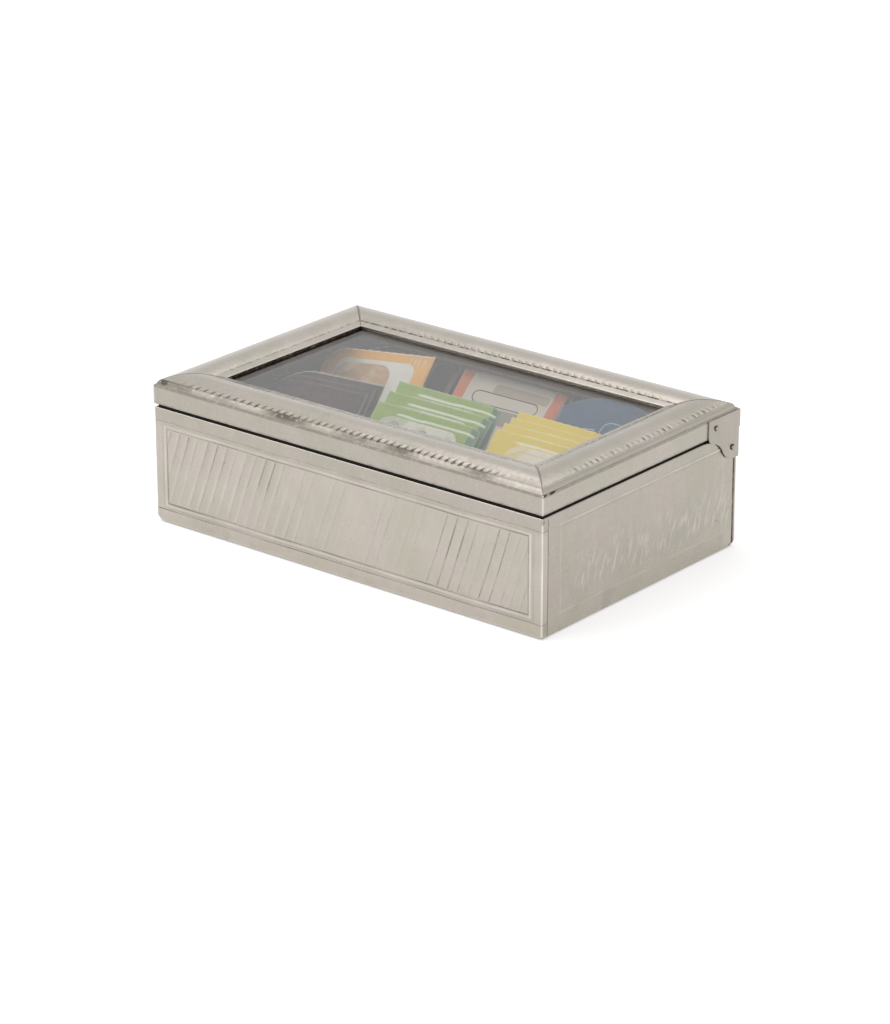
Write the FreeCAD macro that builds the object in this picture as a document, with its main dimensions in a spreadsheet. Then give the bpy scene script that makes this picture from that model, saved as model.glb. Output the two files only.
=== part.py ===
import FreeCAD, Part
import Sketcher
import math
import os
from types import SimpleNamespace
from FreeCAD import Rotation, Vector

# A tabletop tea bag box: a wooden box clad in pressed metal sheet, with a hinged glazed lid
# over six compartments. Millimetres. Origin at the middle of the rest face, +X to the right,
# +Y to the back, +Z up, front face towards -Y.

SIZES = {
    # whole box
    "width": 240.0,
    "depth": 153.0,
    "rim_height": 59.0,
    "lid_gap": 2.0,
    "lid_overhang": 0.3,
    "sheet": 0.5,
    "lap": 0.2,
    "fit": 0.1,
    "gap": 0.3,
    "overrun": 2.0,
    # wooden carcass
    "board": 8.4,
    "corner_rabbet": 2.4,
    "base_board": 5.0,
    "felt": 1.0,
    "rim_felt_in": 1.4,
    "rim_felt_short": 1.0,
    "lining": 1.2,
    "divider": 2.8,
    "divider_height": 38.8,
    # cladding of the body
    "rim_return": 8.4,
    "cladding_lift": 0.4,
    "front_lap": 4.6,
    "knock_in": 4.6,
    "knock_rise": 3.0,
    "small_knock_in": 1.6,
    "small_knock_rise": 1.2,
    "back_lap": 2.0,
    "relief": 0.3,
    "crease_width": 0.4,
    "crease_depth": 0.2,
    "band_height": 7.0,
    "frame_band": 3.5,
    "frame_top": 53.0,
    "front_frame_margin": 4.6,
    "side_frame_margin": 12.0,
    "flute_width": 0.6,
    "flute_depth": 0.15,
    "flute_inset": 1.6,
    "flute_lean": 13.4,
    "flute_pitch": 6.2,
    # lid
    "strip_height": 10.0,
    "strip_return": 11.0,
    "side_frame_width": 25.1,
    "front_frame_width": 26.0,
    "rebate": 4.8,
    "rebate_height": 10.4,
    "groove_in": 0.9,
    "groove_drop": 0.4,
    "shoulder_in": 2.75,
    "shoulder_rise": 2.4,
    "crown_bulge": 2.1,
    "bevel_width": 4.1,
    "bevel_rise": 3.0,
    "lip_rise": 2.0,
    "glass": 3.0,
    "glass_gap": 0.2,
    "bead_height": 4.0,
    # hinge ears and their pins
    "ear": 0.6,
    "ear_top_margin": 0.6,
    "ear_back_margin": 0.2,
    "ear_width": 25.0,
    "ear_corner_height": 8.0,
    "ear_corner_radius": 5.2,
    "ear_waist_in": 11.4,
    "ear_waist_drop": 17.4,
    "ear_waist_radius": 13.0,
    "ear_heel_in": 5.5,
    "ear_heel_drop": 12.6,
    "ear_foot_in": 20.0,
    "ear_foot_drop": 23.9,
    "ear_foot_radius": 10.5,
    "ear_flange": 4.0,
    "ear_flange_lift": 0.6,
    "pivot_in": 5.3,
    "pivot_below_lid": 8.6,
    "rivet_in": 19.2,
    "rivet_above_lid_bottom": 4.8,
    "pin_radius": 1.0,
    "pin_clearance": 0.05,
    "pin_length": 6.0,
    "head_radius": 1.55,
    "head_height": 0.75,
    "head_clearance": 0.1,
    # paper sachets
    "sachet_room": 6.9,
    "sachet_bulge": 1.7,
    "sachet_seam": 0.6,
    "sachet_seam_height": 8.0,
    "sachet_lift": 0.45,
    "lean_gap": 4.2,
    "droop_in": 5.8,
    "droop_rise": 5.0,
    "droop_low": 1.6,
}

# a mitre cut runs past both corners by this share of the mitre's own reach
MITRE_SHARE = 0.2

# Where each front sachet stands, as shares of its compartment: the foot across the row's depth,
# the lean point ahead of the divider across the row's depth, and the top in the clear height.
FRONT_STACK_SHARES = {
    "plum": ((0.435, 0.035, 0.975), (0.319, 0.146, 0.970), (0.201, 0.236, 0.960)),
    "green": ((0.427, 0.012, 0.960), (0.257, 0.120, 0.912), (0.081, 0.228, 0.862)),
    "yellow": ((0.472, 0.000, 0.975), (0.362, 0.083, 0.955), (0.250, 0.168, 0.934), (0.137, 0.253, 0.912)),
}
# Where each back sachet stands: the foot and the top across the row's depth, and the top in
# the clear height under the glass (True) or under the rail (False).
BACK_STACK_SHARES = {
    "orange": ((0.014, 0.751, 0.965, True),),
    "brown": ((0.124, 0.970, 0.985, False),),
    "white": ((0.019, 0.865, 0.985, False), (0.117, 0.966, 0.982, False)),
    "blue": ((0.031, 0.748, 0.987, True), (0.126, 0.969, 0.985, False)),
}

doc = FreeCAD.newDocument("TeaBagBox")
sheet = doc.addObject("Spreadsheet::Sheet", "Sizes")
for row, (alias, number) in enumerate(SIZES.items(), start=1):
    sheet.set(f"A{row}", alias)
    sheet.set(f"B{row}", str(number))
    sheet.setAlias(f"B{row}", alias)
doc.recompute()


class Size:
    """A length with its number in millimetres and its formula over the sheet's cells."""

    def __init__(self, value, formula):
        self.value = float(value)
        self.formula = formula

    def _with(self, other, sign, turned=False):
        other = as_size(other)
        left, right = (other, self) if turned else (self, other)
        values = {
            "+": lambda a, b: a + b,
            "-": lambda a, b: a - b,
            "*": lambda a, b: a * b,
            "/": lambda a, b: a / b,
        }
        return Size(values[sign](left.value, right.value), f"({left.formula} {sign} {right.formula})")

    def __add__(self, other):
        return self._with(other, "+")

    def __radd__(self, other):
        return self._with(other, "+", True)

    def __sub__(self, other):
        return self._with(other, "-")

    def __rsub__(self, other):
        return self._with(other, "-", True)

    def __mul__(self, other):
        return self._with(other, "*")

    def __rmul__(self, other):
        return self._with(other, "*", True)

    def __truediv__(self, other):
        return self._with(other, "/")

    def __neg__(self):
        return Size(-self.value, f"(-1 * {self.formula})")


def as_size(number):
    return number if isinstance(number, Size) else Size(number, repr(float(number)))


def in_order(*sizes):
    """The sizes from the lowest to the highest."""
    return sorted(sizes, key=lambda size: size.value)


def root(size):
    return Size(math.sqrt(size.value), f"sqrt({size.formula})")


s = SimpleNamespace(**{alias: Size(number, f"Sizes.{alias}") for alias, number in SIZES.items()})
nodes = []


# Places that several pieces share

half_width = s.width / 2
half_depth = s.depth / 2
side_face = half_width - s.lap
front_face = half_depth - s.relief
board_x = side_face - s.sheet
board_y = front_face - s.sheet
inside_x = board_x - s.board
inside_y = board_y - s.board
lined_x = inside_x - s.lining
lined_y = inside_y - s.lining
board_top = s.rim_height - s.sheet
base_top = s.felt + s.base_board
floor_top = base_top + s.lining
divider_top = floor_top + s.divider_height
# three columns of compartments of one width
column_width = (lined_x - s.divider) * 2 / 3
cross_place = (column_width + s.divider) / 2
sachet_width = column_width - s.sachet_room

lid_x = half_width + s.lid_overhang
lid_y = half_depth
lid_bottom = s.rim_height + s.lid_gap
strip_top = lid_bottom + s.strip_height
lip_x = lid_x - s.side_frame_width
lip_y = lid_y - s.front_frame_width
rebate_z = lid_bottom + s.rebate_height
rebate_x = lip_x + s.sheet + s.rebate
rebate_y = lip_y + s.sheet + s.rebate
glass_bottom = rebate_z - s.glass
lining_top = lid_bottom - s.fit

pivot_y = half_depth - s.pivot_in
pivot_z = lid_bottom - s.pivot_below_lid
rivet_y = half_depth - s.rivet_in
rivet_z = lid_bottom + s.rivet_above_lid_bottom


# Helpers for parts, sketches and features

def node(part):
    nodes.append(part)
    return part


def labelled(kind, label):
    part = doc.addObject(kind, label)
    part.Label = label
    return part


def bind(part, **formulas):
    for prop, size in formulas.items():
        part.setExpression(prop, as_size(size).formula)
    return part


def bind_place(part, x=0, y=0, z=0):
    for axis, size in (("x", x), ("y", y), ("z", z)):
        part.setExpression(f"Placement.Base.{axis}", as_size(size).formula)
    return part


def block(label, x, y, z):
    """A box between two values along each axis."""
    part = labelled("Part::Box", label)
    bind(part, Length=x[1] - x[0], Width=y[1] - y[0], Height=z[1] - z[0])
    return bind_place(part, x[0], y[0], z[0])


def rod(label, x, y, z, radius):
    """A cylinder along X from x[0] to x[1]."""
    part = labelled("Part::Cylinder", label)
    part.Placement.Rotation = Rotation(Vector(0, 1, 0), 90)
    bind(part, Radius=radius, Height=x[1] - x[0])
    return bind_place(part, x[0], y, z)


def cut(label, base, *tools):
    """The base with each tool taken away in turn; the last cut carries the label."""
    for index, tool in enumerate(tools, start=1):
        last = index == len(tools)
        result = labelled("Part::Cut", label if last else f"{label}_cut_{index}")
        result.Base = base
        result.Tool = tool
        base = result
    return base


def group(label, parts):
    result = labelled("Part::Compound", label)
    result.Links = parts
    return result


def new_sketch(body, role):
    sketch = body.newObject("Sketcher::SketchObject", f"{body.Name}_outline")
    plane = next(item for item in body.Origin.OriginFeatures if item.Role == role)
    sketch.AttachmentSupport = [(plane, "")]
    sketch.MapMode = "FlatFace"
    return sketch


def pin_vertex(sketch, edge, end, x, y):
    for kind, size in (("DistanceX", x), ("DistanceY", y)):
        size = as_size(size)
        index = sketch.addConstraint(Sketcher.Constraint(kind, -1, 1, edge, end, size.value))
        sketch.setExpression(f"Constraints[{index}]", size.formula)


def arc_between(start, stop, radius, side):
    """The shorter arc between two points, drawn anticlockwise, that bulges to one side of the chord."""
    chord = stop - start
    left = Vector(-chord.y, chord.x, 0) / chord.Length
    depth = math.sqrt(max(radius * radius - chord.Length * chord.Length / 4, 0))
    centre = start + chord / 2 - left * depth * side
    first, last = (start, stop) if side < 0 else (stop, start)
    from_angle = math.atan2(first.y - centre.y, first.x - centre.x)
    to_angle = math.atan2(last.y - centre.y, last.x - centre.x)
    if to_angle < from_angle:
        to_angle += 2 * math.pi
    return Part.ArcOfCircle(Part.Circle(centre, Vector(0, 0, 1), radius), from_angle, to_angle)


def draw_outline(sketch, corners):
    """A closed outline. A corner is (x, y), or (x, y, radius, side) where the edge that leaves it
    is an arc that bulges to the left (side 1) or to the right (side -1) of its direction."""
    points = [Vector(as_size(c[0]).value, as_size(c[1]).value, 0) for c in corners]
    ends = []
    for index, corner in enumerate(corners):
        start, stop = points[index], points[(index + 1) % len(points)]
        if len(corner) == 2:
            edge = sketch.addGeometry(Part.LineSegment(start, stop), False)
            ends.append((edge, 1, 2))
            continue
        edge = sketch.addGeometry(arc_between(start, stop, corner[2].value, corner[3]), False)
        ends.append((edge, 1, 2) if corner[3] < 0 else (edge, 2, 1))
    for index, (edge, first, last) in enumerate(ends):
        following = ends[(index + 1) % len(ends)]
        sketch.addConstraint(Sketcher.Constraint("Coincident", edge, last, following[0], following[1]))
        pin_vertex(sketch, edge, first, corners[index][0], corners[index][1])
        if len(corners[index]) > 2:
            radius = corners[index][2]
            place = sketch.addConstraint(Sketcher.Constraint("Radius", edge, radius.value))
            sketch.setExpression(f"Constraints[{place}]", radius.formula)


def draw_circle(sketch, x, y, radius):
    centre = Vector(as_size(x).value, as_size(y).value, 0)
    edge = sketch.addGeometry(Part.Circle(centre, Vector(0, 0, 1), radius.value), False)
    pin_vertex(sketch, edge, 3, x, y)
    place = sketch.addConstraint(Sketcher.Constraint("Radius", edge, radius.value))
    sketch.setExpression(f"Constraints[{place}]", radius.formula)


def rectangle(x, y):
    return [(x[0], y[0]), (x[1], y[0]), (x[1], y[1]), (x[0], y[1])]


def extrude(body, role, outlines, length, side="Symmetric", backwards=False, offset=None):
    """A pad of closed outlines on one of the body's own planes."""
    sketch = new_sketch(body, role)
    for outline in outlines:
        draw_outline(sketch, outline)
    if offset is not None:
        sketch.setExpression("AttachmentOffset.Base.z", as_size(offset).formula)
    pad = body.newObject("PartDesign::Pad", f"{body.Name}_pad")
    pad.Profile = sketch
    pad.SideType = side
    pad.Reversed = backwards
    bind(pad, Length=length)
    return pad


def carve(body, role, outlines, depth=None, offset=None, backwards=False, circles=()):
    """A pocket of closed outlines: right through both ways, or to a depth below an offset plane."""
    sketch = new_sketch(body, role)
    for outline in outlines:
        draw_outline(sketch, outline)
    for circle in circles:
        draw_circle(sketch, *circle)
    if offset is not None:
        sketch.setExpression("AttachmentOffset.Base.z", as_size(offset).formula)
    pocket = body.newObject("PartDesign::Pocket", f"{body.Name}_pocket")
    pocket.Profile = sketch
    if depth is None:
        pocket.Type = "ThroughAll"
        pocket.SideType = "Symmetric"
    else:
        pocket.Reversed = backwards
        bind(pocket, Length=depth)
    return pocket


# Four sides share one set of profiles: the front and back are drawn across Y, the left and
# right across X. The sign points outwards.

SIDES = {"front": ("YZ_Plane", -1), "back": ("YZ_Plane", 1), "left": ("XZ_Plane", -1), "right": ("XZ_Plane", 1)}


def across(side, x_size, y_size):
    """The size that counts on this side: y for the front and back, x for the left and right."""
    return y_size if SIDES[side][0] == "YZ_Plane" else x_size


def profile(side, corners):
    """Turns (distance from the middle, height) corners to the side's own direction."""
    sign = SIDES[side][1]
    turned = []
    for corner in corners:
        place = corner[0] * sign
        turned.append((place, corner[1]) if len(corner) == 2 else (place, corner[1], corner[2], corner[3] * sign))
    return turned


def mitred_length(label, side, section, outer, inner):
    """A section run along one side and mitred in plan from the outer to the inner corner."""
    role, sign = SIDES[side]
    body = labelled("PartDesign::Body", label)
    run = (outer[0] if role == "YZ_Plane" else outer[1]) * 2
    extrude(body, role, [profile(side, section)], run)
    step = (outer[0] - inner[0], outer[1] - inner[1])
    start = (outer[0] + step[0] * MITRE_SHARE, outer[1] + step[1] * MITRE_SHARE)
    stop = (inner[0] - step[0] * MITRE_SHARE, inner[1] - step[1] * MITRE_SHARE)
    wedges = []
    for end in (-1, 1):
        if role == "YZ_Plane":
            far = start[0] * end
            corners = [(start[0] * end, start[1] * sign), (stop[0] * end, stop[1] * sign), (far, stop[1] * sign)]
        else:
            far = start[1] * end
            corners = [(start[0] * sign, start[1] * end), (stop[0] * sign, stop[1] * end), (stop[0] * sign, far)]
        wedges.append(corners)
    carve(body, "XY_Plane", wedges)
    return body


CORNERS = (("front_left", -1, -1), ("front_right", 1, -1), ("back_left", -1, 1), ("back_right", 1, 1))


def corner_knocks():
    """Pyramids that knock off the four bottom corners; the front right one is the smallest."""
    knocks = []
    for name, x_sign, y_sign in CORNERS:
        small = name == "front_right"
        reach = s.small_knock_in if small else s.knock_in
        x = in_order((side_face - reach) * x_sign, (side_face + s.overrun) * x_sign)
        # the wedge's own Z runs towards -Y once it is turned upright
        z = in_order((front_face - reach) * -y_sign, (front_face + s.overrun) * -y_sign)
        knock = labelled("Part::Wedge", f"corner_knock_{name}")
        knock.Placement.Rotation = Rotation(Vector(1, 0, 0), 90)
        bind(knock, Xmin=x[0], Xmax=x[1], X2min=side_face * x_sign, X2max=side_face * x_sign)
        bind(knock, Zmin=z[0], Zmax=z[1], Z2min=front_face * -y_sign, Z2max=front_face * -y_sign)
        bind(knock, Ymin=as_size(0), Ymax=s.small_knock_rise if small else s.knock_rise)
        knocks.append(knock)
    return knocks


# The wooden carcass

def make_carcass(knocks):
    run_x = inside_x + s.corner_rabbet
    for name, sign in (("front", -1), ("back", 1)):
        label = f"wall_board_{name}"
        thick = in_order(inside_y * sign, board_y * sign)
        node(block(label, (-run_x, run_x), thick, (s.felt, board_top)))
    for name, sign in (("left", -1), ("right", 1)):
        label = f"wall_board_{name}"
        thick = in_order(inside_x * sign, board_x * sign)
        plank = block(f"{label}_plank", thick, (-board_y, board_y), (s.felt, board_top))
        shallow = in_order(run_x * sign, (inside_x - s.overrun) * sign)
        rebates = []
        for end in (-1, 1):
            corner = in_order(inside_y * end, (board_y + s.overrun) * end)
            height = (s.felt - s.overrun, board_top + s.overrun)
            rebates.append(block(f"{label}_rebate_{end + 2}", shallow, corner, height))
        ends = ((side_face - s.pin_length - s.fit) * sign, (side_face + s.overrun) * sign)
        hole = rod(f"{label}_hole", in_order(*ends), pivot_y, pivot_z, s.pin_radius)
        node(cut(label, plank, *rebates, hole, *knocks))
    node(block("base_board", (-inside_x, inside_x), (-inside_y, inside_y), (s.felt, base_top)))
    felt_x = board_x - s.gap
    felt_y = board_y - s.gap
    pad = block("base_felt_pad", (-felt_x, felt_x), (-felt_y, felt_y), (as_size(0), s.felt))
    node(cut("base_felt", pad, *knocks))


def make_linings():
    node(block("lining_floor", (-lined_x, lined_x), (-lined_y, lined_y), (base_top, floor_top)))
    height = (base_top, lining_top)
    node(block("lining_front", (-inside_x, inside_x), (-inside_y, -lined_y), height))
    node(block("lining_back", (-inside_x, inside_x), (lined_y, inside_y), height))
    node(block("lining_left", (-inside_x, -lined_x), (-lined_y, lined_y), height))
    node(block("lining_right", (lined_x, inside_x), (-lined_y, lined_y), height))
    # felt strips on the rim, none at the back, where the lid's back edge swings down
    outer_x = side_face - s.rim_felt_in
    outer_y = front_face - s.rim_felt_in
    along = (-inside_y, pivot_y - s.rim_felt_short)
    on_rim = (s.rim_height, lining_top)
    node(block("rim_felt_front", (-outer_x, outer_x), (-outer_y, -inside_y), on_rim))
    node(block("rim_felt_left", (-outer_x, -inside_x), along, on_rim))
    node(block("rim_felt_right", (inside_x, outer_x), along, on_rim))


def make_dividers():
    """One long divider and two cross dividers, halved into each other."""
    half = s.divider / 2
    slot = half + s.fit / 2
    end_x = lined_x - s.fit
    end_y = lined_y - s.fit
    halving = floor_top + s.divider_height / 2
    plank = block("long_divider_plank", (-end_x, end_x), (-half, half), (floor_top, divider_top))
    slots = []
    for name, sign in (("left", -1), ("right", 1)):
        place = cross_place * sign
        span = (place - slot, place + slot)
        high = (halving, divider_top + s.overrun)
        slots.append(block(f"long_divider_slot_{name}", span, (-half - s.overrun, half + s.overrun), high))
    node(cut("long_divider", plank, *slots))
    for name, sign in (("left", -1), ("right", 1)):
        place = cross_place * sign
        span = (place - half, place + half)
        label = f"cross_divider_{name}"
        plank = block(f"{label}_plank", span, (-end_y, end_y), (floor_top, divider_top))
        wide = (place - half - s.overrun, place + half + s.overrun)
        slot_block = block(f"{label}_slot", wide, (-slot, slot), (floor_top - s.overrun, halving))
        node(cut(label, plank, slot_block))


# The pressed metal cladding of the body

def make_cladding(side):
    """One side's sheet: it folds over the rim, is mitred at the corners and carries a pressed frame."""
    role, sign = SIDES[side]
    face = across(side, side_face, front_face)
    low = s.cladding_lift
    section = [
        (face, low),
        (face, s.rim_height),
        (face - s.rim_return, s.rim_height),
        (face - s.rim_return, board_top),
        (face - s.sheet, board_top),
        (face - s.sheet, low),
    ]
    outer = (side_face, front_face)
    inner = (side_face - s.rim_return, front_face - s.rim_return)
    body = mitred_length(f"cladding_{side}_sheet", side, section, outer, inner)
    across_y = role == "YZ_Plane"
    span = side_face if across_y else front_face
    margin = across(side, s.side_frame_margin, s.front_frame_margin)
    panel_role = "XZ_Plane" if across_y else "YZ_Plane"
    # a sketch on the XZ plane faces -Y, one on the YZ plane faces +X
    outwards = -sign if across_y else sign
    offset = face * outwards
    backwards = outwards < 0
    if side != "back":
        edge = span - margin
        outer_frame = rectangle((-edge, edge), (s.band_height, s.frame_top))
        edge = edge - s.frame_band
        inner_frame = rectangle((-edge, edge), (s.band_height + s.frame_band, s.frame_top - s.frame_band))
        extrude(body, panel_role, [outer_frame, inner_frame], s.relief, "One side", backwards, offset)
        add_flutes(body, side, panel_role, edge, offset, backwards)
    crease = (s.band_height - s.crease_width, s.band_height)
    beyond = span + s.overrun
    line = rectangle((-beyond, beyond), crease)
    carve(body, panel_role, [line], s.crease_depth, offset, backwards)
    if across_y:
        add_laps(body, side)
    else:
        clear_corners(body, side)
    return body


def add_flutes(body, side, role, edge, offset, backwards):
    """Slanted shallow flutes between the frame's uprights, one drawn and the rest repeated."""
    low = s.band_height + s.frame_band + s.flute_inset
    high = s.frame_top - s.frame_band - s.flute_inset
    start = -edge + s.flute_inset
    # the flutes lean to the right as they rise, seen from outside
    if side == "left":
        start = start + s.flute_lean
        lean = -s.flute_lean
    else:
        lean = s.flute_lean
    outline = [
        (start, low),
        (start + s.flute_width, low),
        (start + s.flute_width + lean, high),
        (start + lean, high),
    ]
    flute = carve(body, role, [outline], s.flute_depth, offset, backwards)
    pattern = body.newObject("PartDesign::LinearPattern", f"{body.Name}_flutes")
    pattern.Originals = [flute]
    pattern.Direction = (flute.Profile[0], ["H_Axis"])
    run = edge * 2 - s.flute_inset * 2 - s.flute_width - s.flute_lean
    pattern.Mode = "Extent"
    bind(pattern, Length=run)
    pattern.setExpression("Occurrences", f"floor({run.formula} / {s.flute_pitch.formula}) + 1")
    body.Tip = pattern


def add_laps(body, side):
    """The front and back sheets lap round their corners onto the sides."""
    sign = SIDES[side][1]
    reach = s.front_lap if side == "front" else s.back_lap
    low = s.cladding_lift
    laps = []
    for end in (-1, 1):
        inner_x = (side_face - s.sheet) * end
        lap_y = (front_face - reach) * sign
        laps.append([
            (inner_x, front_face * sign),
            (half_width * end, front_face * sign),
            (half_width * end, lap_y),
            (side_face * end, lap_y),
            (side_face * end, (front_face - s.sheet) * sign),
            (inner_x, (front_face - s.sheet) * sign),
        ])
    extrude(body, "XY_Plane", laps, s.rim_height - low, "One side", False, low)


def clear_corners(body, side):
    """The side sheets stop short of the lapped corners and have a hole for the pivot pin."""
    sign = SIDES[side][1]
    corners = []
    for end in (-1, 1):
        x = in_order((side_face - s.sheet) * sign, (side_face + s.overrun) * sign)
        y = in_order((front_face - s.sheet) * end, (front_face + s.overrun) * end)
        corners.append(rectangle(x, y))
    carve(body, "XY_Plane", corners)
    drill(body, side, side_face, pivot_y, pivot_z, s.pin_radius, s.rim_return)


def drill(body, side, face, y, z, radius, depth):
    """A round hole into the left or right side from its face."""
    sign = SIDES[side][1]
    circles = [(y, z, radius)]
    carve(body, "YZ_Plane", [], depth, (face + s.overrun) * sign, sign < 0, circles)


# The lid

def crown_radius(across_run, rise):
    """The radius of an arc over a chord, from the height of its bulge."""
    chord_square = across_run * across_run + rise * rise
    return (chord_square / 4 + s.crown_bulge * s.crown_bulge) / (s.crown_bulge * 2)


def moulding_line(side, drop):
    """The top of the moulding from its outer edge to its inner lip, lowered by a drop."""
    outer = across(side, lid_x, lid_y)
    lip = across(side, lip_x, lip_y)
    shoulder = outer - s.shoulder_in
    bevel = lip + s.bevel_width
    radius = crown_radius(shoulder - bevel, s.bevel_rise - s.shoulder_rise)
    return [
        (outer - s.groove_in, strip_top - s.groove_drop - drop),
        (shoulder, strip_top + s.shoulder_rise - drop, radius, -1),
        (bevel, strip_top + s.bevel_rise - drop),
    ]


def make_rail(side):
    outer = across(side, lid_x, lid_y)
    lip = across(side, lip_x, lip_y)
    low = lid_bottom + s.sheet
    top = moulding_line(side, s.sheet)
    section = [(outer - s.sheet, low), (outer - s.sheet, top[0][1])]
    section += top
    section += [
        (lip + s.sheet, strip_top + s.lip_rise - s.sheet),
        (lip + s.sheet, rebate_z),
        (lip + s.sheet + s.rebate, rebate_z),
        (lip + s.sheet + s.rebate, low),
    ]
    body = mitred_length(f"lid_rail_{side}", side, section, (lid_x, lid_y), (lip_x, lip_y))
    if side in ("left", "right"):
        drill(body, side, outer, rivet_y, rivet_z, s.pin_radius, s.overrun + s.pin_length + s.fit)
    return body


def make_moulding(side):
    """The embossed sheet over a rail: shoulder, convex crown, bevel and a lip folded to the glass."""
    lip = across(side, lip_x, lip_y)
    outside = moulding_line(side, as_size(0))
    inside = moulding_line(side, s.sheet)
    lip_z = strip_top + s.lip_rise
    section = list(outside)
    section += [(lip, lip_z), (lip, rebate_z), (lip + s.sheet, rebate_z), (lip + s.sheet, lip_z - s.sheet)]
    bevel, shoulder, edge = inside[2], inside[1], inside[0]
    section += [(bevel[0], bevel[1], shoulder[2], 1), (shoulder[0], shoulder[1]), edge]
    return mitred_length(f"moulding_{side}", side, section, (lid_x, lid_y), (lip_x, lip_y))


def make_strip(side):
    """The flat strip round the lid's edge, folded under the rail."""
    outer = across(side, lid_x, lid_y)
    section = [
        (outer, lid_bottom),
        (outer, strip_top),
        (outer - s.sheet, strip_top),
        (outer - s.sheet, lid_bottom + s.sheet),
        (outer - s.strip_return, lid_bottom + s.sheet),
        (outer - s.strip_return, lid_bottom),
    ]
    body = mitred_length(f"lid_strip_{side}", side, section, (lid_x, lid_y), (lip_x, lip_y))
    if side in ("left", "right"):
        drill(body, side, outer, rivet_y, rivet_z, s.pin_radius, s.overrun * 2)
    return body


def make_glazing():
    edge_x = rebate_x - s.glass_gap
    edge_y = rebate_y - s.glass_gap
    node(block("glass_pane", (-edge_x, edge_x), (-edge_y, edge_y), (glass_bottom, rebate_z)))
    height = (glass_bottom - s.bead_height, glass_bottom)
    bead_x = lip_x + s.sheet
    bead_y = lip_y + s.sheet
    node(block("glazing_bead_front", (-rebate_x, rebate_x), (-rebate_y, -bead_y), height))
    node(block("glazing_bead_back", (-rebate_x, rebate_x), (bead_y, rebate_y), height))
    node(block("glazing_bead_left", (-rebate_x, -bead_x), (-bead_y, bead_y), height))
    node(block("glazing_bead_right", (bead_x, rebate_x), (-bead_y, bead_y), height))


# The hinge: shaped ears on the lid's ends that turn on pins in the body's ends

def make_ear(name, sign):
    label = f"hinge_ear_{name}"
    body = labelled("PartDesign::Body", label)
    back = half_depth - s.ear_back_margin
    top = strip_top - s.ear_top_margin
    front = half_depth - s.ear_width
    corner = (front, top - s.ear_corner_height, s.ear_corner_radius, -1)
    heel = (front + s.ear_heel_in, top - s.ear_heel_drop, s.ear_waist_radius, 1)
    waist = (front + s.ear_waist_in, top - s.ear_waist_drop, s.ear_foot_radius, -1)
    foot = (front + s.ear_foot_in, top - s.ear_foot_drop)
    outline = [(front, top), corner, heel, waist, foot, (back, top - s.ear_foot_drop), (back, top)]
    extrude(body, "YZ_Plane", [outline], s.ear, "One side", sign < 0)
    flange_low = lid_bottom + s.ear_flange_lift
    flange = rectangle((back, half_depth + s.ear), (flange_low, top))
    extrude(body, "YZ_Plane", [flange], s.ear, "One side", sign < 0)
    fold = rectangle((half_depth, half_depth + s.ear), (flange_low, top))
    extrude(body, "YZ_Plane", [fold], s.ear_flange, "One side", sign > 0)
    holes = [(pivot_y, pivot_z, s.pin_radius + s.pin_clearance), (rivet_y, rivet_z, s.pin_radius)]
    carve(body, "YZ_Plane", [], circles=holes)
    bind_place(body, lid_x * sign)
    return body


def make_headed_pin(label, sign, seat, tip, y, z):
    """A pin along X with a domed head outside its seat."""
    body = labelled("PartDesign::Body", label)
    sketch = new_sketch(body, "XZ_Plane")
    dome = (s.head_radius * s.head_radius + s.head_height * s.head_height) / (s.head_height * 2)
    draw_outline(sketch, [
        (tip * sign, 0),
        (seat * sign, 0),
        ((seat + s.head_height) * sign, 0, dome, -sign),
        (seat * sign, s.head_radius),
        (seat * sign, s.pin_radius),
        (tip * sign, s.pin_radius),
    ])
    turned = body.newObject("PartDesign::Revolution", f"{label}_turned")
    turned.Profile = sketch
    turned.ReferenceAxis = (sketch, ["H_Axis"])
    turned.Angle = 360
    return bind_place(body, 0, y, z)


def make_pins():
    ear_face = lid_x + s.ear
    pivots = []
    rivets = []
    for name, sign in (("left", -1), ("right", 1)):
        seat = ear_face + s.head_clearance
        tip = side_face - s.pin_length
        pivots.append(make_headed_pin(f"pivot_pin_{name}", sign, seat, tip, pivot_y, pivot_z))
        tip = lid_x - s.pin_length
        rivets.append(make_headed_pin(f"ear_rivet_{name}", sign, ear_face, tip, rivet_y, rivet_z))
    node(group("pivot_pins", pivots))
    node(group("ear_rivets", rivets))


# The paper sachets in the six compartments

def make_sachet(label, centre, foot_y, top_y, top_z):
    """A flat paper pillow that stands on the floor and leans back from its foot to its top."""
    run = top_y - foot_y
    foot_z = floor_top + s.sachet_lift
    rise = top_z - foot_z
    length = root(run * run + rise * rise)
    body = labelled("PartDesign::Body", label)
    seam = s.sachet_seam / 2
    low = s.sachet_seam_height
    high = length - s.sachet_seam_height
    chord = high - low
    radius = (chord * chord / 4 + s.sachet_bulge * s.sachet_bulge) / (s.sachet_bulge * 2)
    outline = [
        (-seam, 0),
        (seam, 0),
        (seam, low, radius, -1),
        (seam, high),
        (seam, length),
        (-seam, length),
        (-seam, high, radius, -1),
        (-seam, low),
    ]
    extrude(body, "YZ_Plane", [outline], sachet_width)
    bind_place(body, centre, foot_y, foot_z)
    body.Placement.Rotation = Rotation(Vector(-1, 0, 0), math.degrees(math.atan2(run.value, rise.value)))
    body.setExpression("Placement.Rotation.Angle", f"atan2({run.formula}; {rise.formula})")
    return body


def settle(colour, stack, shade):
    """A stack as one part, drooping under the side rail where its compartment runs under one."""
    label = f"sachets_{colour}"
    if shade is None:
        return group(label, stack)
    return group(label, [cut(f"{sachet.Label}_settled", sachet, shade) for sachet in stack])


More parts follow.
